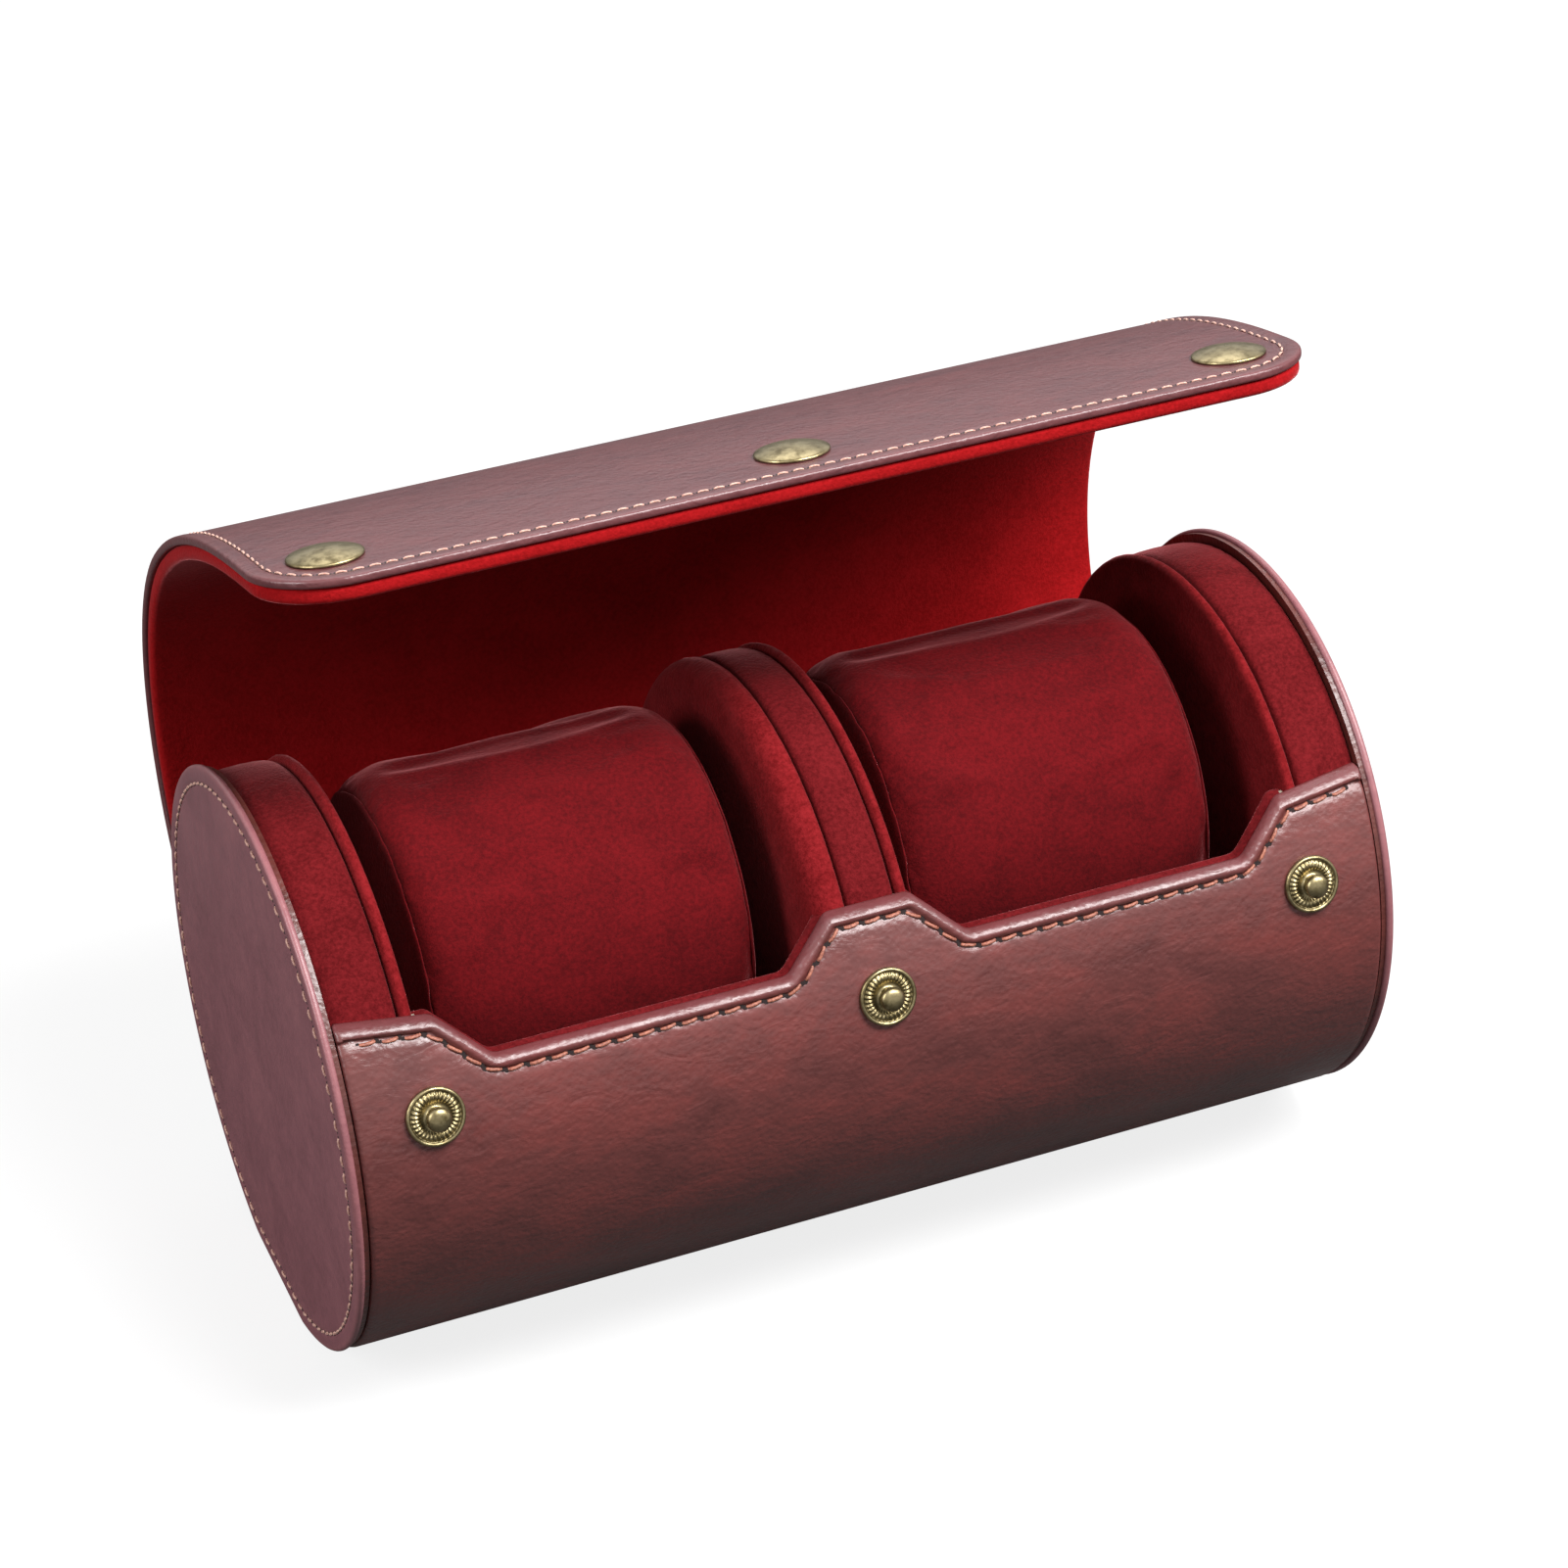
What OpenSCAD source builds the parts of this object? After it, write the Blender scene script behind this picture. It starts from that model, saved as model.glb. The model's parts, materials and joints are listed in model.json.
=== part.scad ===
// Two-place roll for wristwatches: a leather-covered tube that lies on its side,
// with a hinged wrap-round lid, three snap fasteners and two lift-out pillows.
// Millimetres, +Z up. The origin is the centre of the small flat that the roll rests on.
// X runs along the roll, and -Y is the front, where the snaps are.

/* [Roll] */
// Overall length over both end caps
roll_len = 180; // [150:1:240]
// Outside radius of the leather tube
roll_r = 48.5; // [42:0.5:56]
// Half the width of the flat underneath
rest_half = 12; // [8:1:18]
// Thickness of the body leather with its glued backing
leather_t = 1.8; // [1.2:0.1:2.4]
// Thickness of the body's stiffening board
board_t = 1.7; // [1:0.1:3]
// Thickness of the suede lining
lining_t = 0.8; // [0.5:0.1:1.5]

/* [Front edge] */
// Height of the low edge of the front panel above the tube's axis
edge_low = 23.9; // [16:0.1:28]
// Height of the tabs of the front panel above the tube's axis
edge_tab = 30.6; // [26:0.1:34]
// How much the end tabs rise towards the end caps
edge_end_rise = 1.6; // [0:0.1:3]
// Half the width of the middle tab at its top
mid_tab_half = 7.2; // [4:0.1:12]
// Width of each sloping side of a tab
tab_slope = 8.2; // [5:0.1:14]
// Width of each end tab at its top, from the end of the panel
end_tab_w = 15.4; // [8:0.1:22]
// Rounding of the corners of the front edge
edge_round = 2.5; // [0.5:0.1:4]
// How far the leather is turned down over the board's edge
edge_fold = 1.2; // [0.6:0.1:2]

/* [Ends] */
// Thickness of the end caps' outer leather
cap_leather_t = 1.3; // [0.8:0.1:2]
// Thickness of the backing behind the end caps' leather
cap_backing_t = 0.8; // [0.5:0.1:1.5]
// How far the backing's edge is set in from the leather's
cap_backing_inset = 0.6; // [0.2:0.1:1.5]
// Gap between the backing and the body leather, seen as a dark groove
cap_groove = 0.2; // [0.1:0.05:0.5]
// Length of each end drum from the backing to its cheek's seam
drum_len = 10.9; // [7:0.1:18]
// Wall of the drums and of the divider's band
drum_wall = 2; // [1.2:0.1:3]
// Thickness of the cheeks that close the drums
cheek_t = 2.2; // [1.5:0.1:4]
// How far the cheeks' rolled edge stands over the drums
cheek_proud = 0.3; // [0:0.1:0.8]

/* [Divider] */
// Width of the divider's band between its seams
divider_band_w = 10.8; // [6:0.2:20]
// Thickness of the divider's cheeks
divider_cheek_t = 3.3; // [2:0.1:5]

/* [Lid] */
// Thickness of the lid's leather
lid_leather_t = 1.4; // [0.8:0.1:2]
// Thickness of the lid's board
lid_board_t = 1.6; // [1:0.1:2.4]
// Thickness of the lid's lining
lid_lining_t = 1; // [0.6:0.1:1.6]
// Gap between the lid's ends and the end caps' backing
lid_end_gap = 0.5; // [0.3:0.1:1.5]
// How far the lining is set in from the leather's edge
lid_lining_inset = 0.5; // [0.2:0.1:1.2]
// Width of the lining that wraps the board's edge
lid_edge_wrap = 2; // [1:0.1:3]
// How far the hinge line lies inside the leather's outer face
hinge_inset = 0.5; // [0.3:0.1:1.2]
// How far the hinge line lies below the axis, as an angle at the back
hinge_drop = 8; // [0:1:20]
// Angle at which the open lid leaves the hinge, up from straight back
lid_start = 45; // [30:1:80]
// Length of the curved back of the lid, along its inside
back_len = 77.5; // [70:0.5:90]
// Length of the first stretch after the back
brow_len = 20; // [14:0.5:26]
// Length of the second stretch
crown_len = 17; // [12:0.5:24]
// Length of the third stretch
front_len = 16; // [12:0.5:24]
// Length of the flap that carries the snaps
flap_len = 22; // [20:0.5:30]
// Rounding of the flap's two corners
flap_round = 14; // [6:0.5:20]
// Radius of the folded leather at the hinge line
fold_r = 1.3; // [0.8:0.1:1.6]
// Free length between the hinge line and the lid's layers
fold_gap = 2; // [1.8:0.1:3]

/* [Snaps] */
// Distance of the outer snaps from the ends of the roll
snap_inset = 14.8; // [14:0.1:24]
// Angle of the studs above the horizontal at the front
stud_angle = 22; // [12:0.1:24]
// Distance of the snaps from the line where the flap bends
snap_at = 10; // [8:0.1:14]
// Radius of the studs' flange
stud_flange_r = 4.8; // [4:0.1:6]
// Thickness of the studs' flange
stud_flange_t = 0.8; // [0.5:0.1:1.2]
// Radius of the studs' ball
ball_r = 2; // [1.5:0.1:2.5]
// Height of the studs over the leather
stud_h = 3.2; // [2.5:0.1:3.6]
// Radius of the caps on the lid
snap_cap_r = 6; // [5:0.1:8]
// Height of the caps' dome
snap_cap_h = 1.6; // [1:0.1:2.5]

/* [Pillows] */
// How much shorter each pillow is than its place
pillow_play = 7.6; // [5:0.1:14]
// Gap between the divider and the left pillow
left_pillow_gap = 4.25; // [0.6:0.05:4.4]
// Gap between the divider and the right pillow
right_pillow_gap = 0.85; // [0.6:0.05:4.4]
// Half the width of each pillow at its middle
pillow_r = 31; // [22:0.5:33]
// Height of each pillow
pillow_h = 87.4; // [70:0.5:88]
// Thickness of the pillows' suede cover
cover_t = 1.2; // [0.8:0.1:2]
// How far the cover is drawn in at its end seams
draw_in = 2.4; // [0.5:0.1:4]
// How far the end panels bulge
end_bulge = 2.6; // [1:0.1:4]

/* [Hidden] */
$fn = 120;

leather_col = "#5f2f2b";
cap_col = "#5b3436";
suede_col = "#6f1a22";
welt_col = "#7d2a31";
board_col = "#8a8074";
brass_col = "#8f8250";
foam_col = "#d9d2bd";

hinge_r = roll_r - hinge_inset;
// Radii of the layers, from the outside in
drum_r = roll_r - leather_t;
board_in = drum_r - board_t;
tub_r = board_in - lining_t;
// Height of the axis over the flat underneath
axis_z = sqrt(roll_r * roll_r - rest_half * rest_half);
// Places along the roll, from the middle
half_len = roll_len / 2;
backing_x = half_len - cap_leather_t - cap_backing_t;
panel_half = backing_x - cap_groove;
seam_x = backing_x - drum_len;
cheek_x = seam_x - cheek_t;
divider_half = divider_band_w / 2 + divider_cheek_t;
snap_pitch = half_len - snap_inset;
// Corner fillets of the cheeks and caps leave a narrow land beside the seam
rim_land = 0.4;
divider_land = 0.6;
cheek_fillet = cheek_t - rim_land;
divider_fillet = divider_cheek_t - divider_land;
cap_fillet = cap_leather_t - rim_land;
// The board and lining stop short of the leather's back edge, in degrees
board_back_step = 3;
lining_back_step = 2;
// Stud seats
rivet_head_r = 4;
rivet_head_t = 0.8;
rivet_r = 1.6;
rivet_clear = 0.1;
// The flat head is let in by as much as the leather curves over it
rivet_seat = drum_r - sqrt(drum_r * drum_r - rivet_head_r * rivet_head_r) + 0.01;
neck_relief = 0.5;
stud_neck_r = ball_r - neck_relief;
ball_squash = 0.8;
// The lid, stretch by stretch: length along the inside, and own bend in degrees
lid_t = lid_leather_t + lid_board_t + lid_lining_t;
lid_half = backing_x - lid_end_gap;
stretch_len = [back_len, brow_len, crown_len, front_len, flap_len];
stretch_turn = [90, 13, 8, 5, 3];
flex_gap = 0.3;
corner_ease = 0.05;
big = 2 * roll_len;
eps = 0.01;
// Sides of the lid's wide arcs
fine_fn = 720;
// Snap parts in the flap, heights from the flap's inner face
socket_r = 5;
socket_bore_r = ball_r + 0.3;
socket_low = 0.9;
socket_t = 1.5;
shank_r = 2.9;
shank_bore_r = 2.2;
recess_clear = 0.6;
cap_wall = 0.6;
spring_wire_r = 0.3;
// The pillows
pillow_clear = 0.3;
pillow_sides = 32;
pillow_spans = 8;
end_rings = 4;
pillow_len = cheek_x - divider_half - pillow_play;
left_pillow_x = -divider_half - left_pillow_gap - pillow_len / 2;
right_pillow_x = divider_half + right_pillow_gap + pillow_len / 2;
// Shares of the draw-in: an even crown, and a steep drop beside the seams
crown_share = 0.35;
seam_power = 8;
// How far the end panels close up, and how full their dome is
end_close = 0.96;
dome_power = 0.7;
pillow_base = -axis_z + roll_r - tub_r + pillow_clear;
pillow_mid = pillow_base + pillow_h / 2;
pillow_straight = pillow_h / 2 - pillow_r;

// ---- Sections across the roll: first axis to the back, second axis up ----

module along_roll(x0, x1) {
  translate([x0, 0, 0]) rotate([90, 0, 90]) linear_extrude(x1 - x0) children();
}

module full_section(r) {
  intersection() {
    circle(r);
    translate([-big / 2, -axis_z + roll_r - r]) square([big, big]);
  }
}

module shell_section(r_out, r_in) {
  difference() {
    full_section(r_out);
    full_section(r_in);
  }
}

// Everything over the back edge of the tub
module over_back(angle) {
  polygon([
    [0, 0], big * [cos(angle), sin(angle)], [big, big], [0, big]
  ]);
}

// ---- The stepped front edge ----

function unit(v) = v / norm(v);
function corner_arc(a, b, c, r, steps) =
  let (u = unit(a - b), v = unit(c - b), half = acos(u * v) / 2,
       reach = r / tan(half), centre = b + unit(u + v) * r / sin(half),
       p = b + u * reach, q = b + v * reach,
       a0 = atan2(p[1] - centre[1], p[0] - centre[0]),
       a1 = atan2(q[1] - centre[1], q[0] - centre[0]),
       turn = a1 - a0 > 180 ? a1 - a0 - 360 : a1 - a0 < -180 ? a1 - a0 + 360 : a1 - a0)
  [for (i = [0:steps]) centre + r * [cos(a0 + turn * i / steps), sin(a0 + turn * i / steps)]];

edge_corners = [
  [-panel_half, edge_tab + edge_end_rise],
  [-panel_half + end_tab_w, edge_tab],
  [-panel_half + end_tab_w + tab_slope, edge_low],
  [-mid_tab_half - tab_slope, edge_low],
  [-mid_tab_half, edge_tab],
  [mid_tab_half, edge_tab],
  [mid_tab_half + tab_slope, edge_low],
  [panel_half - end_tab_w - tab_slope, edge_low],
  [panel_half - end_tab_w, edge_tab],
  [panel_half, edge_tab + edge_end_rise]
];

// Everything over the front edge, lowered by drop
module over_front(drop) {
  last = len(edge_corners) - 1;
  line = [
    for (i = [1:last - 1])
      each corner_arc(edge_corners[i - 1], edge_corners[i], edge_corners[i + 1], edge_round, 4)
  ];
  translate([0, 0, -drop]) rotate([90, 0, 0]) linear_extrude(big)
    polygon(concat(
      [[-big, big], [-big, edge_corners[0][1]], edge_corners[0]], line,
      [edge_corners[last], [big, edge_corners[last][1]], [big, big]]
    ));
}

// A layer of the tub between two radii, open at the top
module tub_layer(r_out, r_in, x0, x1, drop, back_angle) {
  difference() {
    along_roll(x0, x1) difference() {
      shell_section(r_out, r_in);
      over_back(back_angle);
    }
    over_front(drop);
  }
}

// ---- Snaps ----

module at_studs() {
  for (x = [-snap_pitch, 0, snap_pitch])
    translate([x, 0, 0]) rotate([90 - stud_angle, 0, 0]) translate([0, 0, drum_r]) children();
}

// Room for a rivet's head under the leather
module rivet_pockets() {
  at_studs() translate([0, 0, -rivet_head_t - rivet_seat])
    cylinder(r = rivet_head_r + rivet_clear, h = rivet_head_t + rivet_seat + 1);
}

module hinge_axis_at() {
  translate([0, hinge_r * cos(hinge_drop), -hinge_r * sin(hinge_drop)]) children();
}

module body_leather() {
  color(leather_col) translate([0, 0, axis_z]) difference() {
    union() {
      tub_layer(roll_r, drum_r, -panel_half, panel_half, 0, -hinge_drop);
      // the turned-down edge over the board and lining
      difference() {
        tub_layer(drum_r, tub_r, -cheek_x, cheek_x, 0, -hinge_drop);
        along_roll(-big / 2, big / 2) translate([0, -big]) square([big, 2 * big]);
        tub_layer(drum_r + eps, tub_r - eps, -big / 2, big / 2, edge_fold, -hinge_drop);
        along_roll(-divider_half, divider_half) circle(drum_r);
      }
    }
    at_studs() translate([0, 0, -1]) cylinder(r = rivet_r, h = leather_t + 2);
    hinge_axis_at() along_roll(-big / 2, big / 2) circle(fold_r);
  }
}

module body_board() {
  color(board_col) translate([0, 0, axis_z]) difference() {
    tub_layer(drum_r, board_in, -cheek_x, cheek_x, edge_fold, -hinge_drop - board_back_step);
    rivet_pockets();
  }
}

module tub_lining(x0, x1) {
  color(suede_col) translate([0, 0, axis_z])
    tub_layer(board_in, tub_r, x0, x1, edge_fold, -hinge_drop - lining_back_step);
}

module left_lining() { tub_lining(-cheek_x, -divider_half); }
module right_lining() { tub_lining(divider_half, cheek_x); }

// The leather is folded here and bends as the lid turns
module hinge_fold() {
  color(leather_col) translate([0, 0, axis_z])
    hinge_axis_at() along_roll(-lid_half, lid_half) circle(fold_r);
}

// ---- Ends ----

// A disc across the roll, its rim rounded on the side of x1
module rim_disc(r, x0, x1, fillet) {
  flip = x1 > x0 ? 1 : -1;
  t = abs(x1 - x0);
  translate([x0, 0, 0]) rotate([0, 90 * flip, 0]) rotate_extrude() union() {
    square([r - fillet, t]);
    square([r, t - fillet]);
    intersection() {
      translate([r - fillet, t - fillet]) circle(fillet);
      square([r, t]);
    }
  }
}

module flatten(r) {
  intersection() {
    children();
    along_roll(-big / 2, big / 2) translate([-big / 2, -axis_z + roll_r - r]) square([big, big]);
  }
}

module cap_leather(side) {
  color(cap_col) translate([0, 0, axis_z]) flatten(roll_r)
    rim_disc(roll_r, side * (half_len - cap_leather_t), side * half_len, cap_fillet);
}

module cap_backing(side) {
  r = roll_r - cap_backing_inset;
  color(leather_col) translate([0, 0, axis_z])
    along_roll(min(side * backing_x, side * (backing_x + cap_backing_t)),
               max(side * backing_x, side * (backing_x + cap_backing_t))) full_section(r);
}

module drum(side) {
  color(suede_col) translate([0, 0, axis_z]) difference() {
    along_roll(min(side * seam_x, side * backing_x), max(side * seam_x, side * backing_x))
      shell_section(drum_r, drum_r - drum_wall);
    rivet_pockets();
  }
}

// A cheek keeps inside the tub below the edges, and stands proud of the drum above them
module cheek(side, x_seam, x_face, fillet, low_r) {
  color(welt_col) translate([0, 0, axis_z]) difference() {
    flatten(drum_r) rim_disc(drum_r + cheek_proud, side * x_seam, side * x_face, fillet);
    tub_layer(roll_r + 1, low_r, -big / 2, big / 2, 0, -hinge_drop);
    hinge_axis_at() along_roll(-big / 2, big / 2) circle(fold_r);
    rivet_pockets();
  }
}

module left_cap_leather() { cap_leather(-1); }
module right_cap_leather() { cap_leather(1); }
module left_cap_backing() { cap_backing(-1); }
module right_cap_backing() { cap_backing(1); }
module left_drum() { drum(-1); }
module right_drum() { drum(1); }
module left_cheek() { cheek(-1, seam_x, cheek_x, cheek_fillet, drum_r); }
module right_cheek() { cheek(1, seam_x, cheek_x, cheek_fillet, drum_r); }

// ---- Divider ----

module divider_band() {
  color(suede_col) translate([0, 0, axis_z]) difference() {
    along_roll(-divider_band_w / 2, divider_band_w / 2) shell_section(drum_r, board_in - drum_wall);
    tub_layer(roll_r + 1, board_in, -big / 2, big / 2, 0, -hinge_drop);
    rivet_pockets();
  }
}

module divider_left_cheek() {
  cheek(-1, divider_band_w / 2, divider_half, divider_fillet, board_in);
}

module divider_right_cheek() {
  cheek(1, divider_band_w / 2, divider_half, divider_fillet, board_in);
}

// ---- Studs ----

module snap_studs() {
  color(brass_col) translate([0, 0, axis_z]) at_studs() translate([0, 0, leather_t])
    rotate_extrude() difference() {
      union() {
        // dished flange with a raised outer rim
        square([stud_flange_r, stud_flange_t / 2]);
        translate([stud_flange_r - stud_flange_t, 0]) square([stud_flange_t / 2, stud_flange_t]);
        translate([stud_flange_r - stud_flange_t / 2, stud_flange_t / 2]) circle(stud_flange_t / 2);
        square([stud_neck_r, stud_h - ball_r / 2]);
        intersection() {
          translate([0, stud_h - ball_r * ball_squash]) scale([1, ball_squash]) circle(ball_r);
          translate([0, stud_flange_t]) square([ball_r, stud_h]);
        }
      }
      translate([-big, -big / 2]) square([big, big]);
    }
}

module stud_rivets() {
  color(brass_col) translate([0, 0, axis_z]) at_studs() {
    translate([0, 0, -rivet_head_t - rivet_seat]) cylinder(r = rivet_head_r, h = rivet_head_t);
    translate([0, 0, -rivet_seat]) cylinder(r = rivet_r, h = leather_t + rivet_seat);
  }
}

// ---- Lid ----

function bend_to(k) = k == 0 ? lid_start : bend_to(k - 1) + stretch_turn[k - 1];
function stretch_r(k) = stretch_len[k] / (stretch_turn[k] * PI / 180);
function out_dir(angle) = [sin(angle), -cos(angle)];
function pivot(k) = k == 0 ? hinge_r * [cos(hinge_drop), -sin(hinge_drop)]
  : let (j = k - 1, r = stretch_r(j))
    pivot(j) + r * (out_dir(bend_to(k)) - out_dir(bend_to(j)));
function stretch_centre(k) = pivot(k) - stretch_r(k) * out_dir(bend_to(k));

// Section of one stretch between two heights over its inner face
module stretch_section(k, low, high, trim_start, trim_end) {
  r = stretch_r(k);
  per_mm = 180 / (PI * r);
  a0 = bend_to(k) - 90 + trim_start * per_mm;
  a1 = bend_to(k + 1) - 90 - trim_end * per_mm;
  am = (a0 + a1) / 2;
  reach = 3 * r;
  translate(stretch_centre(k)) intersection() {
    difference() {
      circle(r + high, $fn = fine_fn);
      circle(r + low, $fn = fine_fn);
    }
    polygon([[0, 0], reach * [cos(a0), sin(a0)], reach * [cos(am), sin(am)], reach * [cos(a1), sin(a1)]]);
  }
}

// What rounds off the flap's two corners, seen square on, for a layer set in by inset
module corner_cuts(inset) {
  r = flap_round - inset;
  for (s = [-1, 1]) translate([s * (lid_half - flap_round), flap_len - flap_round]) difference() {
    translate([s > 0 ? 0 : -r - 1, 0]) square(r + 1);
    circle(r + corner_ease);
  }
}

module in_flap_plane() {
  p = pivot(4);
  mean = (bend_to(4) + bend_to(5)) / 2;
  translate([0, p[0], p[1]]) rotate([mean, 0, 0]) translate([0, 0, -flap_len])
    linear_extrude(2 * flap_len) children();
}

module at_lid_snaps() {
  k = 4;
  a = bend_to(k) + stretch_turn[k] * snap_at / flap_len;
  p = stretch_centre(k) + stretch_r(k) * out_dir(a);
  for (x = [-snap_pitch, 0, snap_pitch])
    translate([x, p[0], p[1]]) rotate([a - 180, 0, 0]) children();
}

module stretch(k, low, high, inset) {
  start = k == 0 ? fold_gap : flex_gap / 2;
  end = k == 4 ? inset : flex_gap / 2;
  half = lid_half - inset;
  difference() {
    along_roll(-half, half) stretch_section(k, low, high, start, end);
    if (k == 4) in_flap_plane() corner_cuts(inset);
  }
}

// Holes for the snaps in the flap
module snap_hole(r) {
  at_lid_snaps() translate([0, 0, -1]) cylinder(r = r, h = lid_t + 2);
}

module lid_leather(k) {
  color(leather_col) translate([0, 0, axis_z]) difference() {
    stretch(k, lid_t - lid_leather_t, lid_t, 0);
    if (k == 4) snap_hole(shank_r);
  }
}

module lid_board(k) {
  color(board_col) translate([0, 0, axis_z]) difference() {
    stretch(k, lid_lining_t, lid_lining_t + lid_board_t, lid_lining_inset + lid_edge_wrap);
    if (k == 4) snap_hole(socket_r + recess_clear);
  }
}

module lid_lining(k) {
  color(suede_col) translate([0, 0, axis_z]) difference() {
    stretch(k, 0, lid_lining_t + lid_board_t, lid_lining_inset);
    stretch(k, lid_lining_t, lid_lining_t + lid_board_t + 1, lid_lining_inset + lid_edge_wrap);
    if (k == 4) snap_hole(socket_r + recess_clear);
  }
}

module lid_back_leather() { lid_leather(0); }
module lid_back_board() { lid_board(0); }
module lid_back_lining() { lid_lining(0); }
module lid_brow_leather() { lid_leather(1); }
module lid_brow_board() { lid_board(1); }
module lid_brow_lining() { lid_lining(1); }
module lid_crown_leather() { lid_leather(2); }
module lid_crown_board() { lid_board(2); }
module lid_crown_lining() { lid_lining(2); }
module lid_front_leather() { lid_leather(3); }
module lid_front_board() { lid_board(3); }
module lid_front_lining() { lid_lining(3); }
module lid_flap_leather() { lid_leather(4); }
module lid_flap_board() { lid_board(4); }
module lid_flap_lining() { lid_lining(4); }

// Domed caps outside the flap, with the shank that holds the socket
module snap_caps() {
  dome_r = (snap_cap_r * snap_cap_r + snap_cap_h * snap_cap_h) / (2 * snap_cap_h);
  color(brass_col) translate([0, 0, axis_z]) at_lid_snaps() rotate_extrude() difference() {
    union() {
      intersection() {
        translate([0, lid_t + snap_cap_h - dome_r]) circle(dome_r);
        translate([0, lid_t]) square([snap_cap_r, snap_cap_h]);
      }
      translate([0, socket_low + socket_t]) square([shank_r, lid_t - socket_low - socket_t]);
    }
    square([shank_bore_r, lid_t - cap_wall]);
    translate([-big, -big / 2]) square([big, big]);
  }
}

module snap_sockets() {
  color(brass_col) translate([0, 0, axis_z]) at_lid_snaps() translate([0, 0, socket_low])
    rotate_extrude() difference() {
      union() {
        translate([socket_bore_r, 0]) square([socket_r - socket_bore_r - socket_t / 2, socket_t]);
        translate([socket_r - socket_t / 2, socket_t / 2]) circle(socket_t / 2);
      }
      // groove for the spring
      translate([socket_bore_r + spring_wire_r, socket_t / 2]) circle(spring_wire_r * 1.5);
    }
}

// Split ring of wire that grips the ball
module socket_springs() {
  color(brass_col) translate([0, 0, axis_z]) at_lid_snaps()
    translate([0, 0, socket_low + socket_t / 2])
      rotate_extrude(angle = 320)
        translate([socket_bore_r + spring_wire_r, 0]) circle(spring_wire_r, $fn = 24);
}

// ---- Pillows ----

// Point of the pillow's section: two half rounds joined by straight sides
function oval(a, r, straight) = [r * cos(a), r * sin(a) + (sin(a) >= 0 ? straight : -straight)];

// Size of the section at u from -1 to 1 along the cover: crowned, and drawn in at the seams
function cover_r(u, skin) =
  pillow_r - skin - draw_in * (crown_share * u * u + (1 - crown_share) * pow(u, seam_power));
cover_half = pillow_len / 2 - end_bulge;

function ring(x, r, straight) = [
  for (i = [0:pillow_sides - 1])
    let (p = oval((i + 0.5) * 360 / pillow_sides, r, straight)) [x, p[0], p[1]]
];

// Closed skin over a list of rings
module loft(rings) {
  n = pillow_sides;
  m = len(rings);
  points = [for (r = rings) each r];
  sides = [
    for (j = [0:m - 2], i = [0:n - 1])
      let (a = j * n + i, b = j * n + (i + 1) % n, c = b + n, d = a + n)
      each [[a, c, b], [a, d, c]]
  ];
  first = [for (i = [1:n - 2]) [0, i, i + 1]];
  last = [for (i = [1:n - 2]) [(m - 1) * n, (m - 1) * n + i + 1, (m - 1) * n + i]];
  polyhedron(points, concat(sides, first, last));
}

module cover_form(skin, reach) {
  loft([
    for (j = [0:pillow_spans])
      let (u = -1 + 2 * j / pillow_spans)
      ring(u * reach, cover_r(u, skin), pillow_straight)
  ]);
}

module pillow_place(x) {
  translate([x, 0, axis_z + pillow_mid]) children();
}

module pillow_cover(x) {
  color(suede_col) pillow_place(x) difference() {
    cover_form(0, cover_half);
    cover_form(cover_t, cover_half + 1);
  }
}

module pillow_foam(x) {
  color(foam_col) pillow_place(x) cover_form(cover_t + eps, cover_half);
}

// Domed panels sewn into both ends
module pillow_ends(x) {
  seam_r = cover_r(1, 0);
  color(suede_col) pillow_place(x) for (s = [-1, 1]) {
    rings = [
      for (j = [0:end_rings])
        let (t = 90 * j / end_rings, part = 1 - end_close * (1 - cos(t)))
        ring(s * (cover_half + eps + end_bulge * pow(sin(t), dome_power)), seam_r * part,
             pillow_straight * part)
    ];
    loft(s > 0 ? rings : [for (j = [0:end_rings]) rings[end_rings - j]]);
  }
}

module left_pillow_cover() { pillow_cover(left_pillow_x); }
module left_pillow_ends() { pillow_ends(left_pillow_x); }
module left_pillow_foam() { pillow_foam(left_pillow_x); }
module right_pillow_cover() { pillow_cover(right_pillow_x); }
module right_pillow_ends() { pillow_ends(right_pillow_x); }
module right_pillow_foam() { pillow_foam(right_pillow_x); }

body_leather();
body_board();
left_lining();
right_lining();
hinge_fold();
left_cap_leather();
left_cap_backing();
left_drum();
left_cheek();
right_cap_leather();
right_cap_backing();
right_drum();
right_cheek();
divider_band();
divider_left_cheek();
divider_right_cheek();
snap_studs();
stud_rivets();
lid_back_leather();
lid_back_board();
lid_back_lining();
lid_brow_leather();
lid_brow_board();
lid_brow_lining();
lid_crown_leather();
lid_crown_board();
lid_crown_lining();
lid_front_leather();
lid_front_board();
lid_front_lining();
lid_flap_leather();
lid_flap_board();
lid_flap_lining();
snap_caps();
snap_sockets();
socket_springs();
left_pillow_cover();
left_pillow_ends();
left_pillow_foam();
right_pillow_cover();
right_pillow_ends();
right_pillow_foam();
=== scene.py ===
"""Looks of the watch roll: leather, suede, stitching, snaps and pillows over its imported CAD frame."""
import json
import logging
import math
from dataclasses import dataclass, field
from enum import Enum
from typing import Callable, Protocol, Sequence

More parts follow.
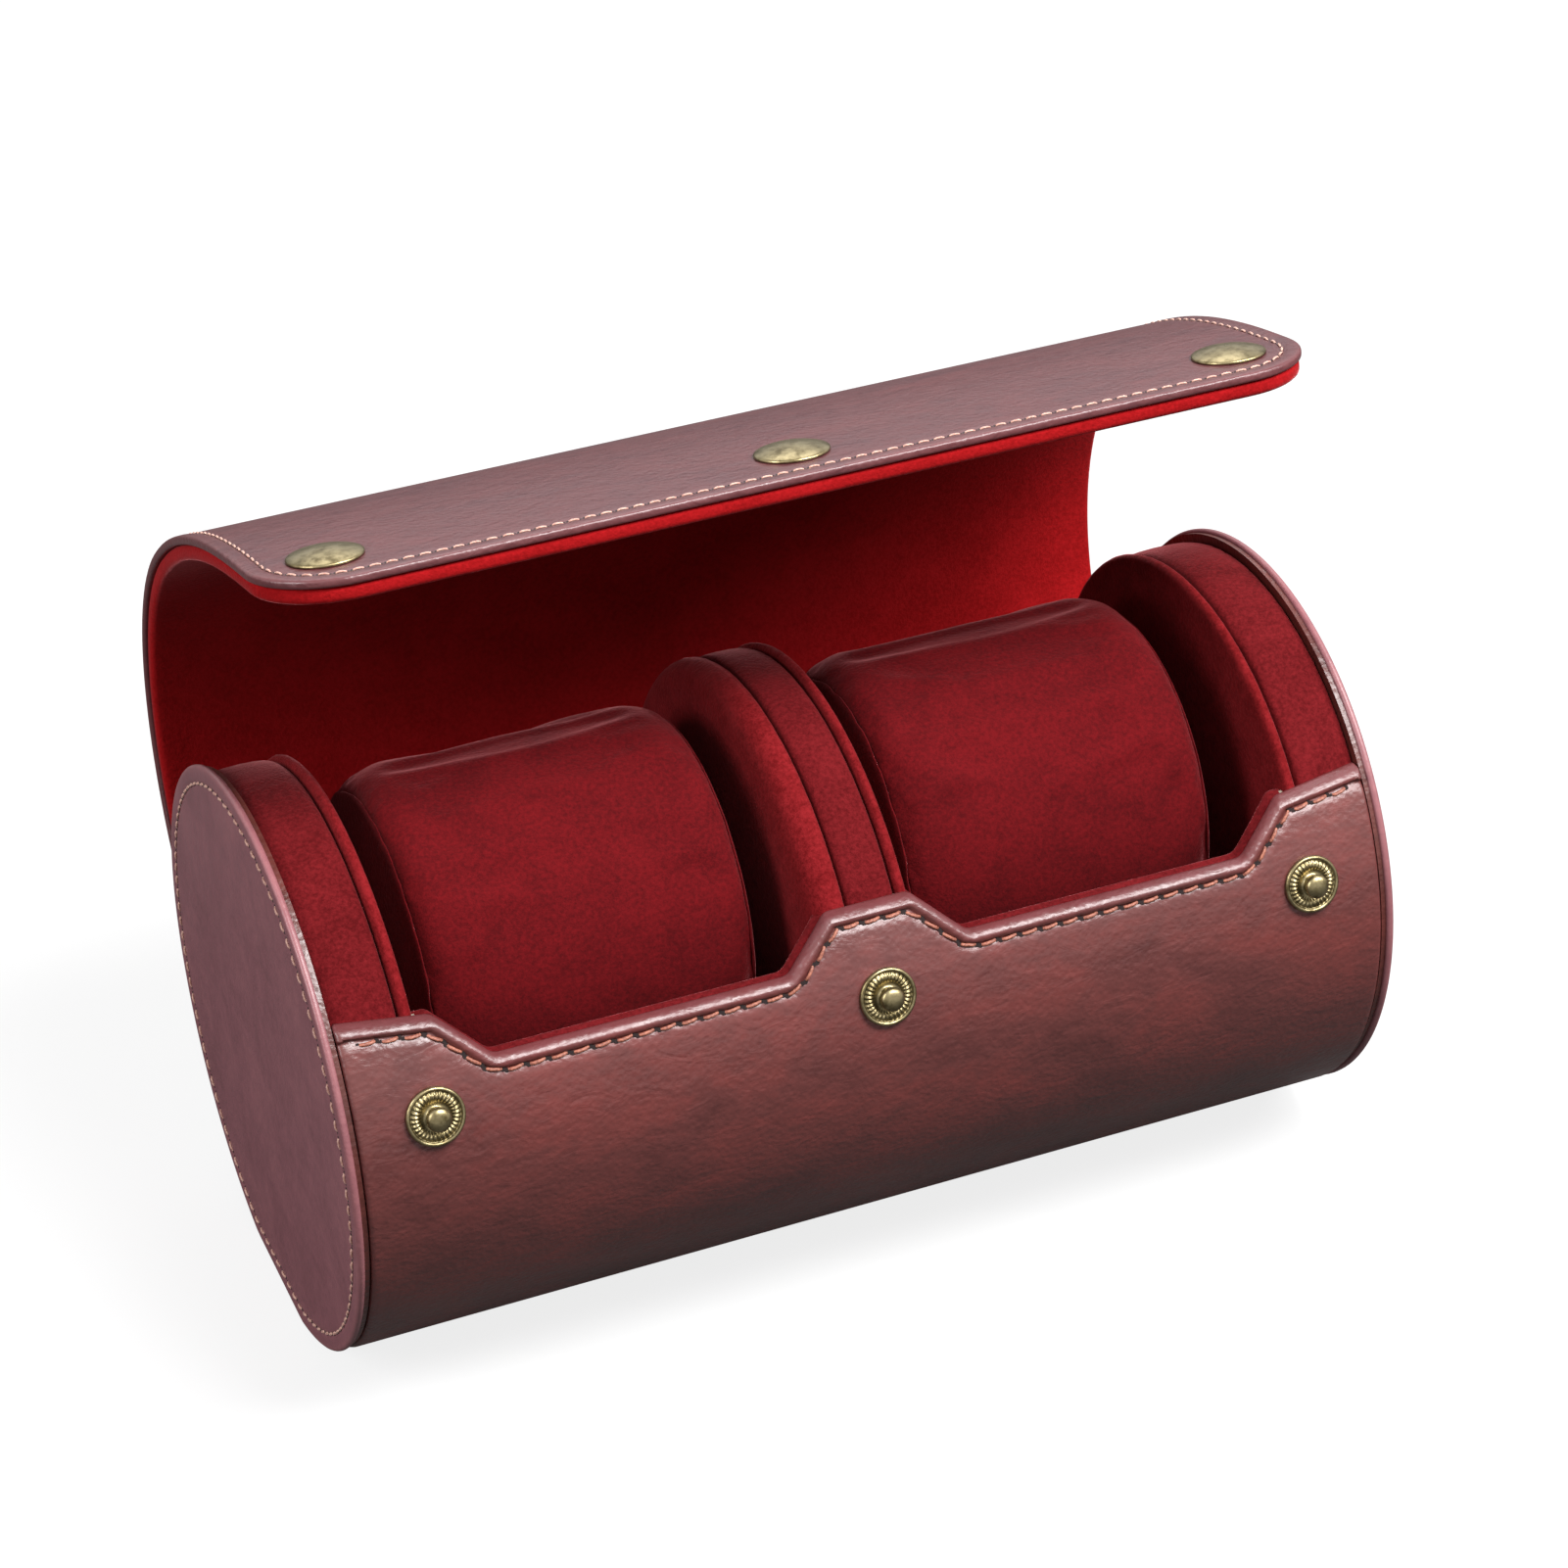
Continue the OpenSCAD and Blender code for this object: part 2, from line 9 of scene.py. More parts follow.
import bmesh
import bpy
import numpy as np
from mathutils import Euler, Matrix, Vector


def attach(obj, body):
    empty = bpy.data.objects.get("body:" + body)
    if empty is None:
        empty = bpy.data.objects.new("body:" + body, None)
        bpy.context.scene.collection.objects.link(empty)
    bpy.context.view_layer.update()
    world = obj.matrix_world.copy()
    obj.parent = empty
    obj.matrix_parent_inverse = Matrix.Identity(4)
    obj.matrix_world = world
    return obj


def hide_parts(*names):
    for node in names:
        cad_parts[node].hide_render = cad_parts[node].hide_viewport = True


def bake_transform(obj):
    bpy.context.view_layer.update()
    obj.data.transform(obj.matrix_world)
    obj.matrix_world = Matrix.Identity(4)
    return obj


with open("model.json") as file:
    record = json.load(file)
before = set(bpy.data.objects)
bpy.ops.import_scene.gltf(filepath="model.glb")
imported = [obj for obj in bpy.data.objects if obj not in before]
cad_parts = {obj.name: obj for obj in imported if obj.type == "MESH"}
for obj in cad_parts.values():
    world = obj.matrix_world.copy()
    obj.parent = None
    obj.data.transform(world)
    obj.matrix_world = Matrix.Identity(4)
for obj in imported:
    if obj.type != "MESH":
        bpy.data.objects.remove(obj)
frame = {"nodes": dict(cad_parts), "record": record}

log = logging.getLogger("watch_roll")
MM = 0.001


class Side(Enum):
    """An end of the roll."""

    LEFT = -1
    RIGHT = 1

    @property
    def word(self) -> str:
        """The end's name in node names."""
        return self.name.lower()


# ---- Sizes, in millimetres, as in the part's source ----


@dataclass(frozen=True)
class RollSizes:
    """Sizes that several sub-assemblies share. The tube's own frame has its origin on the axis."""

    half_len: float = 90.0
    outer_r: float = 48.5
    rest_half: float = 12.0
    leather: float = 1.8
    tub_r: float = 44.2
    drum_r: float = 46.7
    panel_half: float = 87.7
    cheek_x: float = 74.8
    divider_half: float = 8.7
    hinge_r: float = 48.0
    hinge_drop: float = 8.0
    snap_pitch: float = 75.2
    stud_angle: float = 22.0
    pillow_middles: tuple[float, float] = (-42.2, 38.8)

    @property
    def axis_z(self) -> float:
        """Height of the tube's axis over the flat underneath."""
        return math.sqrt(self.outer_r**2 - self.rest_half**2)

    @property
    def snaps(self) -> tuple[float, ...]:
        """Where the three snaps are, across."""
        return (-self.snap_pitch, 0.0, self.snap_pitch)


SIZES = RollSizes()


# ---- Meshes ----


def unit(v: np.ndarray) -> np.ndarray:
    """The vector at length one."""
    return v / (np.linalg.norm(v) + 1e-12)


@dataclass
class Facets:
    """Points in the shared frame in millimetres, faces, and where each point lies on its flat pattern."""

    points: np.ndarray
    faces: list[list[int]]
    flat: np.ndarray | None = None
    marks: list[int] = field(default_factory=list)
    # Share of the edge colour at each point: partly rubbing, partly a painted highlight along the edges.
    wear: np.ndarray | None = None

    def mesh(self, name: str) -> bpy.types.Mesh:
        """Makes a smooth Blender mesh in metres.

        Args:
            name: Name of the mesh.

        Returns:
            The mesh.
        """
        made = bpy.data.meshes.new(name)
        made.from_pydata((self.points * MM).tolist(), [], self.faces)
        made.polygons.foreach_set("use_smooth", [True] * len(made.polygons))
        if self.marks:
            made.polygons.foreach_set("material_index", self.marks)
        if self.wear is not None:
            made.attributes.new("wear", "FLOAT", "POINT").data.foreach_set(
                "value", self.wear.astype(np.float32))
        made.update()
        return made

    def normals(self) -> np.ndarray:
        """Smooth normals at the points."""
        made = self.mesh("measure")
        out = np.zeros(len(made.vertices) * 3)
        made.vertex_normals.foreach_get("vector", out)
        bpy.data.meshes.remove(made)
        return out.reshape(-1, 3)

    def part(self, keep: Sequence[int], normals: np.ndarray) -> tuple["Facets", np.ndarray]:
        """Takes some of the faces with their points and normals.

        Args:
            keep: Numbers of the faces to take.
            normals: Normals at all the points.

        Returns:
            The facets, and the normals at their points.
        """
        chosen = [self.faces[i] for i in keep]
        used = sorted({p for f in chosen for p in f})
        number = {p: i for i, p in enumerate(used)}
        marks = [self.marks[i] for i in keep] if self.marks else []
        faces = [[number[p] for p in f] for f in chosen]
        flat = None if self.flat is None else self.flat[used]
        wear = None if self.wear is None else self.wear[used]
        return Facets(self.points[used], faces, flat, marks, wear), normals[used]


def joined(parts: Sequence[Facets]) -> Facets:
    """Puts several sets of facets together, with one mark for each set's own marks."""
    points, faces, flats, marks, base = [], [], [], [], 0
    for p in parts:
        points.append(p.points)
        flats.append(p.flat if p.flat is not None else np.zeros((len(p.points), 3)))
        faces += [[i + base for i in f] for f in p.faces]
        marks += p.marks or [0] * len(p.faces)
        base += len(p.points)
    return Facets(np.vstack(points), faces, np.vstack(flats), marks)


def shown(name: str, mesh: bpy.types.Mesh, materials: Sequence[bpy.types.Material]) -> bpy.types.Object:
    """Makes an object of a mesh with its finishes.

    Args:
        name: Name of the piece.
        mesh: Its mesh.
        materials: Its finishes, in the order of the mesh's marks.

    Returns:
        The object, linked to the scene.
    """
    mesh.name = name
    for m in materials:
        mesh.materials.append(m)
    piece = bpy.data.objects.new(name, mesh)
    bpy.context.scene.collection.objects.link(piece)
    return piece


def fitted(name: str, mesh: bpy.types.Mesh, materials: Sequence[bpy.types.Material], slot: str, body: str,
           *nodes: str) -> bpy.types.Object:
    """Makes an object of a mesh that moves with a body.

    Args:
        name: Name of the piece.
        mesh: Its mesh.
        materials: Its finishes, in the order of the mesh's marks.
        slot: The record's slot of the piece; not used.
        body: The CAD body that carries it.
        nodes: The CAD nodes that it stands for.

    Returns:
        The object.
    """
    piece = shown(name, mesh, materials)
    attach(piece, body)
    if nodes:
        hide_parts(*nodes)
    return piece


def with_normals(facets: Facets, name: str, normals: np.ndarray) -> bpy.types.Mesh:
    """A mesh that keeps the given normals, so that pieces cut from one panel meet without a line."""
    mesh = facets.mesh(name)
    mesh.normals_split_custom_set_from_vertices(normals.tolist())
    return mesh


def further(line: np.ndarray, along: float) -> np.ndarray:
    """The points of a line that lie further along the pattern than a length."""
    return line[line[:, 1] > along]


# ---- Forms that flat pieces are bent onto ----


class Form(Protocol):
    """A shape that takes points of a flat pattern (across, along, height) to the shared frame."""

    def place(self, flat: np.ndarray) -> np.ndarray:
        """Points in the shared frame, in millimetres."""


@dataclass(frozen=True)
class TubForm:
    """The outside of the tube. Along runs from the hinge down the back, underneath and up the front.

    Above the front's horizontal the edges of the layers are cut level, as the board's is.
    """

    sizes: RollSizes = SIZES
    level_from: float = 0.3

    def along(self, angle: float) -> float:
        """Length from the hinge to a place that many degrees up from the front's horizontal."""
        return math.radians(180.0 - self.sizes.hinge_drop + angle) * self.sizes.outer_r

    def place(self, flat: np.ndarray) -> np.ndarray:
        """Points in the shared frame, in millimetres, flattened underneath."""
        s = self.sizes
        turn = -math.radians(s.hinge_drop) - flat[:, 1] / s.outer_r
        r = s.outer_r + flat[:, 2]
        front = np.clip((-math.pi - turn) / self.level_from, 0, 1)
        height = r * np.sin(turn) * (1 - front) + s.outer_r * np.sin(turn) * front
        back = np.where(turn < -math.pi, -np.sqrt(np.maximum(r**2 - height**2, 1.0)), r * np.cos(turn))
        return np.stack([flat[:, 0], back, np.maximum(height + s.axis_z, -flat[:, 2])], -1)


@dataclass(frozen=True)
class LidForm:
    """The open lid: five bent stretches along the inner face. Height 0 is the outer face."""

    sizes: RollSizes = SIZES
    start: float = 45.0
    lengths: tuple[float, ...] = (77.5, 20.0, 17.0, 16.0, 22.0)
    turns: tuple[float, ...] = (90.0, 13.0, 8.0, 5.0, 3.0)
    thickness: float = 4.0
    thin_at_hinge: float = 1.0
    thin_over: float = 6.0

    @property
    def ends(self) -> list[float]:
        """Places of the bending lines along the lid, with both its ends."""
        return [0.0, *np.cumsum(self.lengths).tolist()]

    def inner(self, along: np.ndarray) -> tuple[np.ndarray, np.ndarray]:
        """Points on the inner face, and the direction outward.

        Args:
            along: Lengths from the hinge line.

        Returns:
            Points (back, up) about the tube's axis, and unit vectors.
        """
        s, ends = self.sizes, self.ends
        drop = math.radians(s.hinge_drop)
        pivot = s.hinge_r * np.array([math.cos(drop), -math.sin(drop)])
        bearing = math.radians(self.start)
        points, outward = np.zeros((len(along), 2)), np.zeros((len(along), 2))
        for k, (length, turn) in enumerate(zip(self.lengths, self.turns)):
            bend = math.radians(turn)
            r = length / bend
            here = (along >= ends[k] - 1e-9) if k else np.ones(len(along), bool)
            angle = bearing + bend * (along[here] - ends[k]) / length
            out = np.stack([np.sin(angle), -np.cos(angle)], -1)
            first = np.array([math.sin(bearing), -math.cos(bearing)])
            points[here] = pivot + r * (out - first)
            outward[here] = out
            last = np.array([math.sin(bearing + bend), -math.cos(bearing + bend)])
            pivot, bearing = pivot + r * (last - first), bearing + bend
        return points, outward

    def place(self, flat: np.ndarray) -> np.ndarray:
        """Points in the shared frame, in millimetres, with the layers pressed thin at the hinge."""
        points, outward = self.inner(flat[:, 1])
        t = np.clip(flat[:, 1] / self.thin_over, 0, 1)
        rise = self.thin_at_hinge + (self.thickness - self.thin_at_hinge) * t * t * (3 - 2 * t)
        height = rise * (1 + flat[:, 2] / self.thickness)
        at = points + outward * height[:, None]
        return np.stack([flat[:, 0], at[:, 0], at[:, 1] + self.sizes.axis_z], -1)


@dataclass(frozen=True)
class EndForm:
    """The flat face of an end cap, seen from outside."""

    side: Side
    face_x: float = SIZES.half_len

    def place(self, flat: np.ndarray) -> np.ndarray:
        """Points in the shared frame, in millimetres."""
        s = self.side.value
        return np.stack([s * (self.face_x + flat[:, 2]), s * flat[:, 0], flat[:, 1] + SIZES.axis_z], -1)


# ---- Flat patterns ----


@dataclass(frozen=True)
class Corner:
    """A corner of a pattern, with its rounding."""

    across: float
    along: float
    rounding: float


@dataclass(frozen=True)
class Outline:
    """A closed pattern with rounded corners, counter-clockwise."""

    corners: tuple[Corner, ...]
    steps: int = 6

    def loop(self, inset: float) -> np.ndarray:
        """Points along the outline, set in by a distance; every inset has as many points.

        Args:
            inset: Distance from the edge.

        Returns:
            Points (across, along).
        """
        at = np.array([(c.across, c.along) for c in self.corners])
        return np.array([p for i, c in enumerate(self.corners) for p in self.arc(at, i, c.rounding, inset)])

    def arc(self, at: np.ndarray, i: int, rounding: float, inset: float) -> list[np.ndarray]:
        """Points round one corner of the outline, set in by a distance.

        Args:
            at: The corners.
            i: Which of them.
            rounding: Its radius at the edge.
            inset: Distance from the edge.

        Returns:
            Points (across, along).
        """
        d0, d1 = unit(at[i] - at[i - 1]), unit(at[(i + 1) % len(at)] - at[i])
        n0, n1 = np.array([-d0[1], d0[0]]), np.array([-d1[1], d1[0]])
        tip = at[i] + (n0 + n1) * inset / (1 + n0 @ n1)
        turn = math.atan2(d0[0] * d1[1] - d0[1] * d1[0], d0 @ d1)
        way = math.copysign(1.0, turn)
        r = max(rounding - way * inset, 0.4)
        first = tip - d0 * r * math.tan(abs(turn) / 2)
        centre = first + n0 * way * r
        out = []
        for k in range(self.steps + 1):
            a = turn * k / self.steps
            v = first - centre
            out.append(centre + np.array([v[0] * math.cos(a) - v[1] * math.sin(a),
                                          v[0] * math.sin(a) + v[1] * math.cos(a)]))
        return out


@dataclass(frozen=True)
class DiscOutline:
    """A round pattern with the small flat that the roll rests on."""

    r: float
    low: float = SIZES.axis_z
    count: int = 192

    def loop(self, inset: float) -> np.ndarray:
        """Points along the outline, set in by a distance."""
        a = np.arange(self.count) * 2 * math.pi / self.count
        down = np.maximum(-np.sin(a), 1e-6)
        r = np.minimum(self.r - inset, (self.low - inset) / down)
        return np.stack([r * np.cos(a), r * np.sin(a)], -1)


@dataclass(frozen=True)
class Relief:
    """Heights by the distance from an edge: the seam that is pulled down, and the padded fold beside it."""

    line: np.ndarray
    steps: tuple[tuple[float, float], ...]

    @classmethod
    def seam(cls, line: np.ndarray, inset: float, sink: float, puff: float) -> "Relief":
        """The usual shape beside a stitched edge.

        Args:
            line: The edge.
            inset: Distance of the seam from it.
            sink: Depth of the seam.
            puff: Height of the padded fold between the seam and the edge.

        Returns:
            The relief.
        """
        g = inset
        return cls(line, (
            (0.0, 0.45 * puff), (0.27 * g, 0.75 * puff), (0.5 * g, puff), (0.6 * g, 0.8 * puff),
            (g - 0.7, 0.25 * puff), (g - 0.3, -0.75 * sink), (g, -sink), (g + 0.3, -0.75 * sink),
            (g + 0.8, -0.15 * sink), (g + 1.6, 0.0)))

    def distance(self, flat: np.ndarray) -> np.ndarray:
        """Distances in millimetres from places of the pattern to the edge."""
        nearest = np.full(len(flat), 1e9)
        for p, q in zip(self.line[:-1], self.line[1:]):
            t = np.clip((flat[:, :2] - p) @ (q - p) / ((q - p) @ (q - p) + 1e-12), 0, 1)
            nearest = np.minimum(nearest, np.linalg.norm(flat[:, :2] - p - t[:, None] * (q - p), axis=1))
        return nearest

    def at(self, flat: np.ndarray) -> np.ndarray:
        """Heights in millimetres at places of the pattern."""
        reach, height = zip(*self.steps)
        return np.interp(self.distance(flat), reach, height)


@dataclass
class Panel:
    """A piece cut flat, with a turned and rounded edge and relief on its face, then bent onto a form."""

    outline: Outline | DiscOutline
    form: Form
    thickness: float | np.ndarray
    top: float | np.ndarray = 0.0
    edge: float = 0.6
    relief: Relief | None = None
    cuts: Sequence[float] = ()
    slits: Sequence[tuple[tuple[float, float], tuple[float, float], float]] = ()
    bores: Sequence[tuple[float, float, float]] = ()
    flip: bool = False

    def rings(self) -> list[tuple[float, float | np.ndarray]]:
        """Insets and heights of the rings from the face over the edge to the back."""
        e = self.edge
        levels = [d for d, _ in self.relief.steps if d > 2.4 * e] if self.relief else []
        rows: list[tuple[float, float | np.ndarray]] = [(d, 0.0) for d in reversed(levels)]
        rows.append((e * 2, 0.0))
        for a in (0, 25, 50, 70, 90):
            s, c = math.sin(math.radians(a)), math.cos(math.radians(a))
            rows.append((e * (1 - s), -e * (1 - c)))
        for a in (0, 35, 65, 90):
            s, c = math.sin(math.radians(a)), math.cos(math.radians(a))
            rows.append((e * (1 - c), -self.thickness + e * (1 - s)))
        rows.append((e * 2.2, -self.thickness))
        return rows

    @staticmethod
    def bore(mesh: bmesh.types.BMesh, x: float, v: float, r: float, sides: int = 24) -> None:
        """Cuts a round hole through both faces of the flat piece.

        Args:
            mesh: The flat piece.
            x: Middle of the hole, across.
            v: Middle of the hole, along.
            r: Its radius.
            sides: How many cuts make it.
        """
        for away in (-1.25 * r, 1.25 * r):
            for co, no in (((x + away, 0, 0), (1, 0, 0)), ((0, v + away, 0), (0, 1, 0))):
                bmesh.ops.bisect_plane(mesh, geom=mesh.verts[:] + mesh.edges[:] + mesh.faces[:], dist=1e-4,
                                       plane_co=co, plane_no=no)
        for k in range(sides):
            c, s = math.cos(math.tau * k / sides), math.sin(math.tau * k / sides)
            near = [f for f in mesh.faces
                    if all(max(abs(q.co.x - x), abs(q.co.y - v)) < 1.26 * r for q in f.verts)]
            geom = {g for f in near for g in (f, *f.edges, *f.verts)}
            bmesh.ops.bisect_plane(mesh, geom=list(geom), dist=1e-4, plane_co=(x + r * c, v + r * s, 0),
                                   plane_no=(c, s, 0))
        inside = [f for f in mesh.faces
                  if all(math.hypot(q.co.x - x, q.co.y - v) < 1.02 * r for q in f.verts)]
        bmesh.ops.delete(mesh, geom=inside, context="FACES")
        bmesh.ops.bridge_loops(mesh, edges=[e for e in mesh.edges if e.is_boundary])

    def facets(self) -> Facets:
        """Builds the flat piece, cuts it across its bend, raises its relief, and bends it.

        Returns:
            The facets with their flat places.
        """
        mesh = bmesh.new()
        loops = []
        for inset, height in self.rings():
            flat = self.outline.loop(inset)
            h = np.broadcast_to(height, len(flat)) + self.top
            loops.append([mesh.verts.new((p[0], p[1], z)) for p, z in zip(flat, h)])
        n = len(loops[0])
        mesh.faces.new(loops[0])
        for inner, outer in zip(loops[:-1], loops[1:]):
            for i in range(n):
                j = (i + 1) % n
                mesh.faces.new((inner[i], outer[i], outer[j], inner[j]))
        mesh.faces.new(loops[-1][::-1])
        for v in self.cuts:
            bmesh.ops.bisect_plane(mesh, geom=mesh.verts[:] + mesh.edges[:] + mesh.faces[:], dist=1e-4,
                                   plane_co=(0, v, 0), plane_no=(0, 1, 0))
        for (x, v), (nx, nv), limit in self.slits:
            near = [f for f in mesh.faces
                    if all(q.co.x * x > 0 and abs(q.co.x) > limit and abs(q.co.y - v) < 12
                           for q in f.verts)]
            geom = {g for f in near for g in (f, *f.edges, *f.verts)}
            bmesh.ops.bisect_plane(mesh, geom=list(geom), dist=1e-4, plane_co=(x, v, 0),
                                   plane_no=(nx, nv, 0))
        for x, v, r in self.bores:
            self.bore(mesh, x, v, r)
        for i, p in enumerate(mesh.verts):
            p.index = i
        flat = np.array([p.co[:] for p in mesh.verts])
        faces = [[p.index for p in (reversed(f.verts) if self.flip else f.verts)] for f in mesh.faces]
        mesh.free()
        wear = None
        if self.relief:
            face = flat[:, 2] > self.top - self.edge - 0.01
            # Lighter within 1.6 mm of the edge: partly rubbing, partly a painted highlight.
            wear = np.clip(1 - self.relief.distance(flat) / 1.6, 0, 1)
            flat[face, 2] += self.relief.at(flat[face])
        return Facets(self.form.place(flat), faces, flat, wear=wear)


@dataclass(frozen=True)
class Sewing:
    """How a row is sewn: lengths in millimetres, slant in degrees, hole by the thread's radius."""

    inset: float
    pitch: float
    length: float
    thread_r: float
    level: float = -0.1
    slant: float = 5.0
    hole: float = 1.2


@dataclass
class StitchRun:
    """A row of hand or machine stitches along a path on a flat pattern, bent onto a form."""

    path: np.ndarray
    form: Form
    sewing: Sewing
    closed: bool = False
    flip: bool = False
    sides: int = 6
    thread: tuple[tuple[float, float, float], ...] = (
        (-0.5, -0.9, 0.55), (-0.42, 0.1, 0.9), (-0.2, 0.62, 1.0), (0.2, 0.62, 1.0), (0.42, 0.1, 0.9),
        (0.5, -0.9, 0.55))

    def spots(self) -> list[tuple[np.ndarray, np.ndarray]]:
        """Middles and directions of the stitches, evenly spaced.

        Returns:
            Pairs of a point and a unit vector on the pattern.
        """
        path = np.vstack([self.path, self.path[:1]]) if self.closed else self.path
        steps = np.linalg.norm(np.diff(path, axis=0), axis=1)
        total = np.concatenate([[0], np.cumsum(steps)])
        count = max(1, round(total[-1] / self.sewing.pitch))
        at = (np.arange(count) + 0.5) * total[-1] / count
        half = self.sewing.length / 2

        def point(d: np.ndarray) -> np.ndarray:
            """Places on the path at lengths from its start."""
            return np.stack([np.interp(d, total, path[:, k]) for k in (0, 1)], -1)

        a, b = point(np.maximum(at - half, 0)), point(np.minimum(at + half, total[-1]))
        return [((p + q) / 2, unit(q - p)) for p, q in zip(a, b)]

    def facets(self) -> Facets:
        """Builds the threads, mark 0, and dark discs at their ends, mark 1, painted as the shade in the
        needle holes.

        Returns:
            The facets with their flat places.
        """
        rows, faces, marks = [], [], []
        sewing, sides, r = self.sewing, self.sides, self.sewing.thread_r
        c, s = math.cos(math.radians(sewing.slant)), math.sin(math.radians(sewing.slant))
        turns = [math.tau * k / sides for k in range(sides)]
        for middle, way in self.spots():
            way = np.array([way[0] * c - way[1] * s, way[0] * s + way[1] * c])
            across = np.array([-way[1], way[0]])
            base = len(rows)
            for share, rise, size in self.thread:
                for a in turns:
                    p = middle + way * share * sewing.length + across * math.cos(a) * r * size
                    rows.append((p[0], p[1], sewing.level + (rise + math.sin(a) * 0.8 * size) * r))
            for j in range(len(self.thread) - 1):
                for k in range(sides):
                    a, b = base + j * sides + k, base + j * sides + (k + 1) % sides
                    faces.append([a, a + sides, b + sides, b])
                    marks.append(0)
            faces.append([base + k for k in range(sides)])
            faces.append([base + (len(self.thread) - 1) * sides + k for k in reversed(range(sides))])
            marks += [0, 0]
            # Near-black discs at both ends of a stitch: painted shade where the thread enters its needle
            # hole.
            for end in (-0.52, 0.52):
                spot, first = middle + way * end * sewing.length, len(rows)
                for a in turns:
                    p = spot + (way * math.cos(a) * 0.9 + across * math.sin(a)) * sewing.hole * r
                    rows.append((p[0], p[1], sewing.level + 0.03 + 0.12 * r))
                faces.append([first + k for k in range(sides)])
                marks.append(1)
        flat = np.array(rows)
        if self.flip:
            faces = [f[::-1] for f in faces]
        return Facets(self.form.place(flat), faces, flat, marks)


@dataclass(frozen=True)
class Spindle:
    """An axis that a profile is turned about."""

    origin: tuple[float, float, float]
    along: tuple[float, float, float]
    first: tuple[float, float, float] = (1.0, 0.0, 0.0)

    def turned(self, profile: Sequence[tuple[float, float]], around: int,
               change: Callable[[int, np.ndarray], tuple[np.ndarray, np.ndarray]] | None = None) -> Facets:
        """Turns a profile into a skin.

        Args:
            profile: Places (along the axis, radius) in mm; a radius of 0 closes the skin in a point.
            around: Number of sides.
            change: Gives what to add along the axis and to the radius, from a ring's number and its angles.

        Returns:
            The facets, facing away from the axis where the profile runs against it.
        """
        out = np.array(self.along)
        u = unit(np.array(self.first) - out * (np.array(self.first) @ out))
        v = np.cross(out, u)
        a = np.arange(around) * 2 * math.pi / around
        points, starts = [], []
        for k, (h, r) in enumerate(profile):
            starts.append(sum(len(p) for p in points))
            dh, dr = change(k, a) if change else (np.zeros(around), np.zeros(around))
            if r == 0:
                points.append(np.array([self.origin]) + out * h)
                continue
            ring = (np.cos(a)[:, None] * u + np.sin(a)[:, None] * v) * (r + dr)[:, None]
            points.append(np.array(self.origin) + ring + out * (h + dh)[:, None])
        faces = []
        for k in range(len(profile) - 1):
            p, q = starts[k], starts[k + 1]
            for i in range(around):
                j = (i + 1) % around
                if len(points[k]) == 1:
                    faces.append([p, q + j, q + i])
                elif len(points[k + 1]) == 1:
                    faces.append([p + i, p + j, q])
                else:
                    faces.append([p + i, p + j, q + j, q + i])
        return Facets(np.vstack(points), faces)


def settled(facets: Facets, held: Sequence[int], pressure: float, spare: float, most: float) -> np.ndarray:
    """Lets a sewn cover settle as cloth over its filling, ten times as large so that the solver is at ease.

    Args:
        facets: The cover.
        held: Points that the seams hold still.
        pressure: How hard the filling pushes.
        spare: Share by which the cloth is cut too large.
        most: How far a point may move, in mm.

    Returns:
        The points, in mm.
    """
    large = 10.0
    mesh = Facets(facets.points * large, facets.faces).mesh("cloth")
    piece = bpy.data.objects.new("cloth", mesh)
    bpy.context.scene.collection.objects.link(piece)
    piece.vertex_groups.new(name="seam").add([int(i) for i in held], 1.0, "REPLACE")
    cloth = piece.modifiers.new("cloth", "CLOTH")
    now = cloth.settings
    now.quality, now.mass, now.air_damping = 6, 0.25, 2.0
    now.tension_stiffness, now.compression_stiffness = 15.0, 15.0
    now.shear_stiffness, now.bending_stiffness = 5.0, 0.4
    now.use_pressure, now.uniform_pressure_force = True, pressure
    now.shrink_min, now.vertex_group_mass, now.effector_weights.gravity = -spare, "seam", 0.0
    cloth.collision_settings.use_collision = False
    scene, frames = bpy.context.scene, 20
    for step in range(1, frames + 1):
        scene.frame_set(step)
    made = piece.evaluated_get(bpy.context.evaluated_depsgraph_get()).to_mesh()
    out = np.zeros(len(made.vertices) * 3)
    made.vertices.foreach_get("co", out)
    bpy.data.objects.remove(piece)
    scene.frame_set(1)
    move = out.reshape(-1, 3) / (large * MM) - facets.points
    size = np.linalg.norm(move, axis=1, keepdims=True)
    return facets.points + move * np.minimum(1, most / np.maximum(size, 1e-9))


# ---- Finishes ----


def linear(code: str) -> tuple[float, float, float, float]:
    """Turns an sRGB hex colour into linear red, green, blue and full opacity."""
    values = [int(code[i:i + 2], 16) / 255 for i in (1, 3, 5)]
    r, g, b = (v / 12.92 if v <= 0.04045 else ((v + 0.055) / 1.055) ** 2.4 for v in values)
    return (r, g, b, 1.0)


def add_node(tree: bpy.types.NodeTree, kind: str, settings: dict | None = None,
             **links: object) -> bpy.types.Node:
    """Adds a shader node with its settings and links.

    Args:
        tree: The material's node tree.
        kind: The node's type.
        settings: Properties, input names with their values, or a ramp's stops: places with hex colours.
        links: Input names, with _ for a space, or i and a number, and the socket that feeds each.

    Returns:
        The node.
    """
    node = tree.nodes.new(kind)
    for key, value in (settings or {}).items():
        if key == "stops":
            while len(node.color_ramp.elements) < len(value):
                node.color_ramp.elements.new(0.5)
            for element, (at, code) in zip(node.color_ramp.elements, value):
                element.position, element.color = at, linear(code)
        elif key in node.inputs:
            node.inputs[key].default_value = value
        else:
            setattr(node, key, value)
    for key, socket in links.items():
        numbered = key[0] == "i" and key[1:].isdigit()
        slot = node.inputs[int(key[1:]) if numbered else key.replace("_", " ")]
        tree.links.new(socket, slot)
    return node


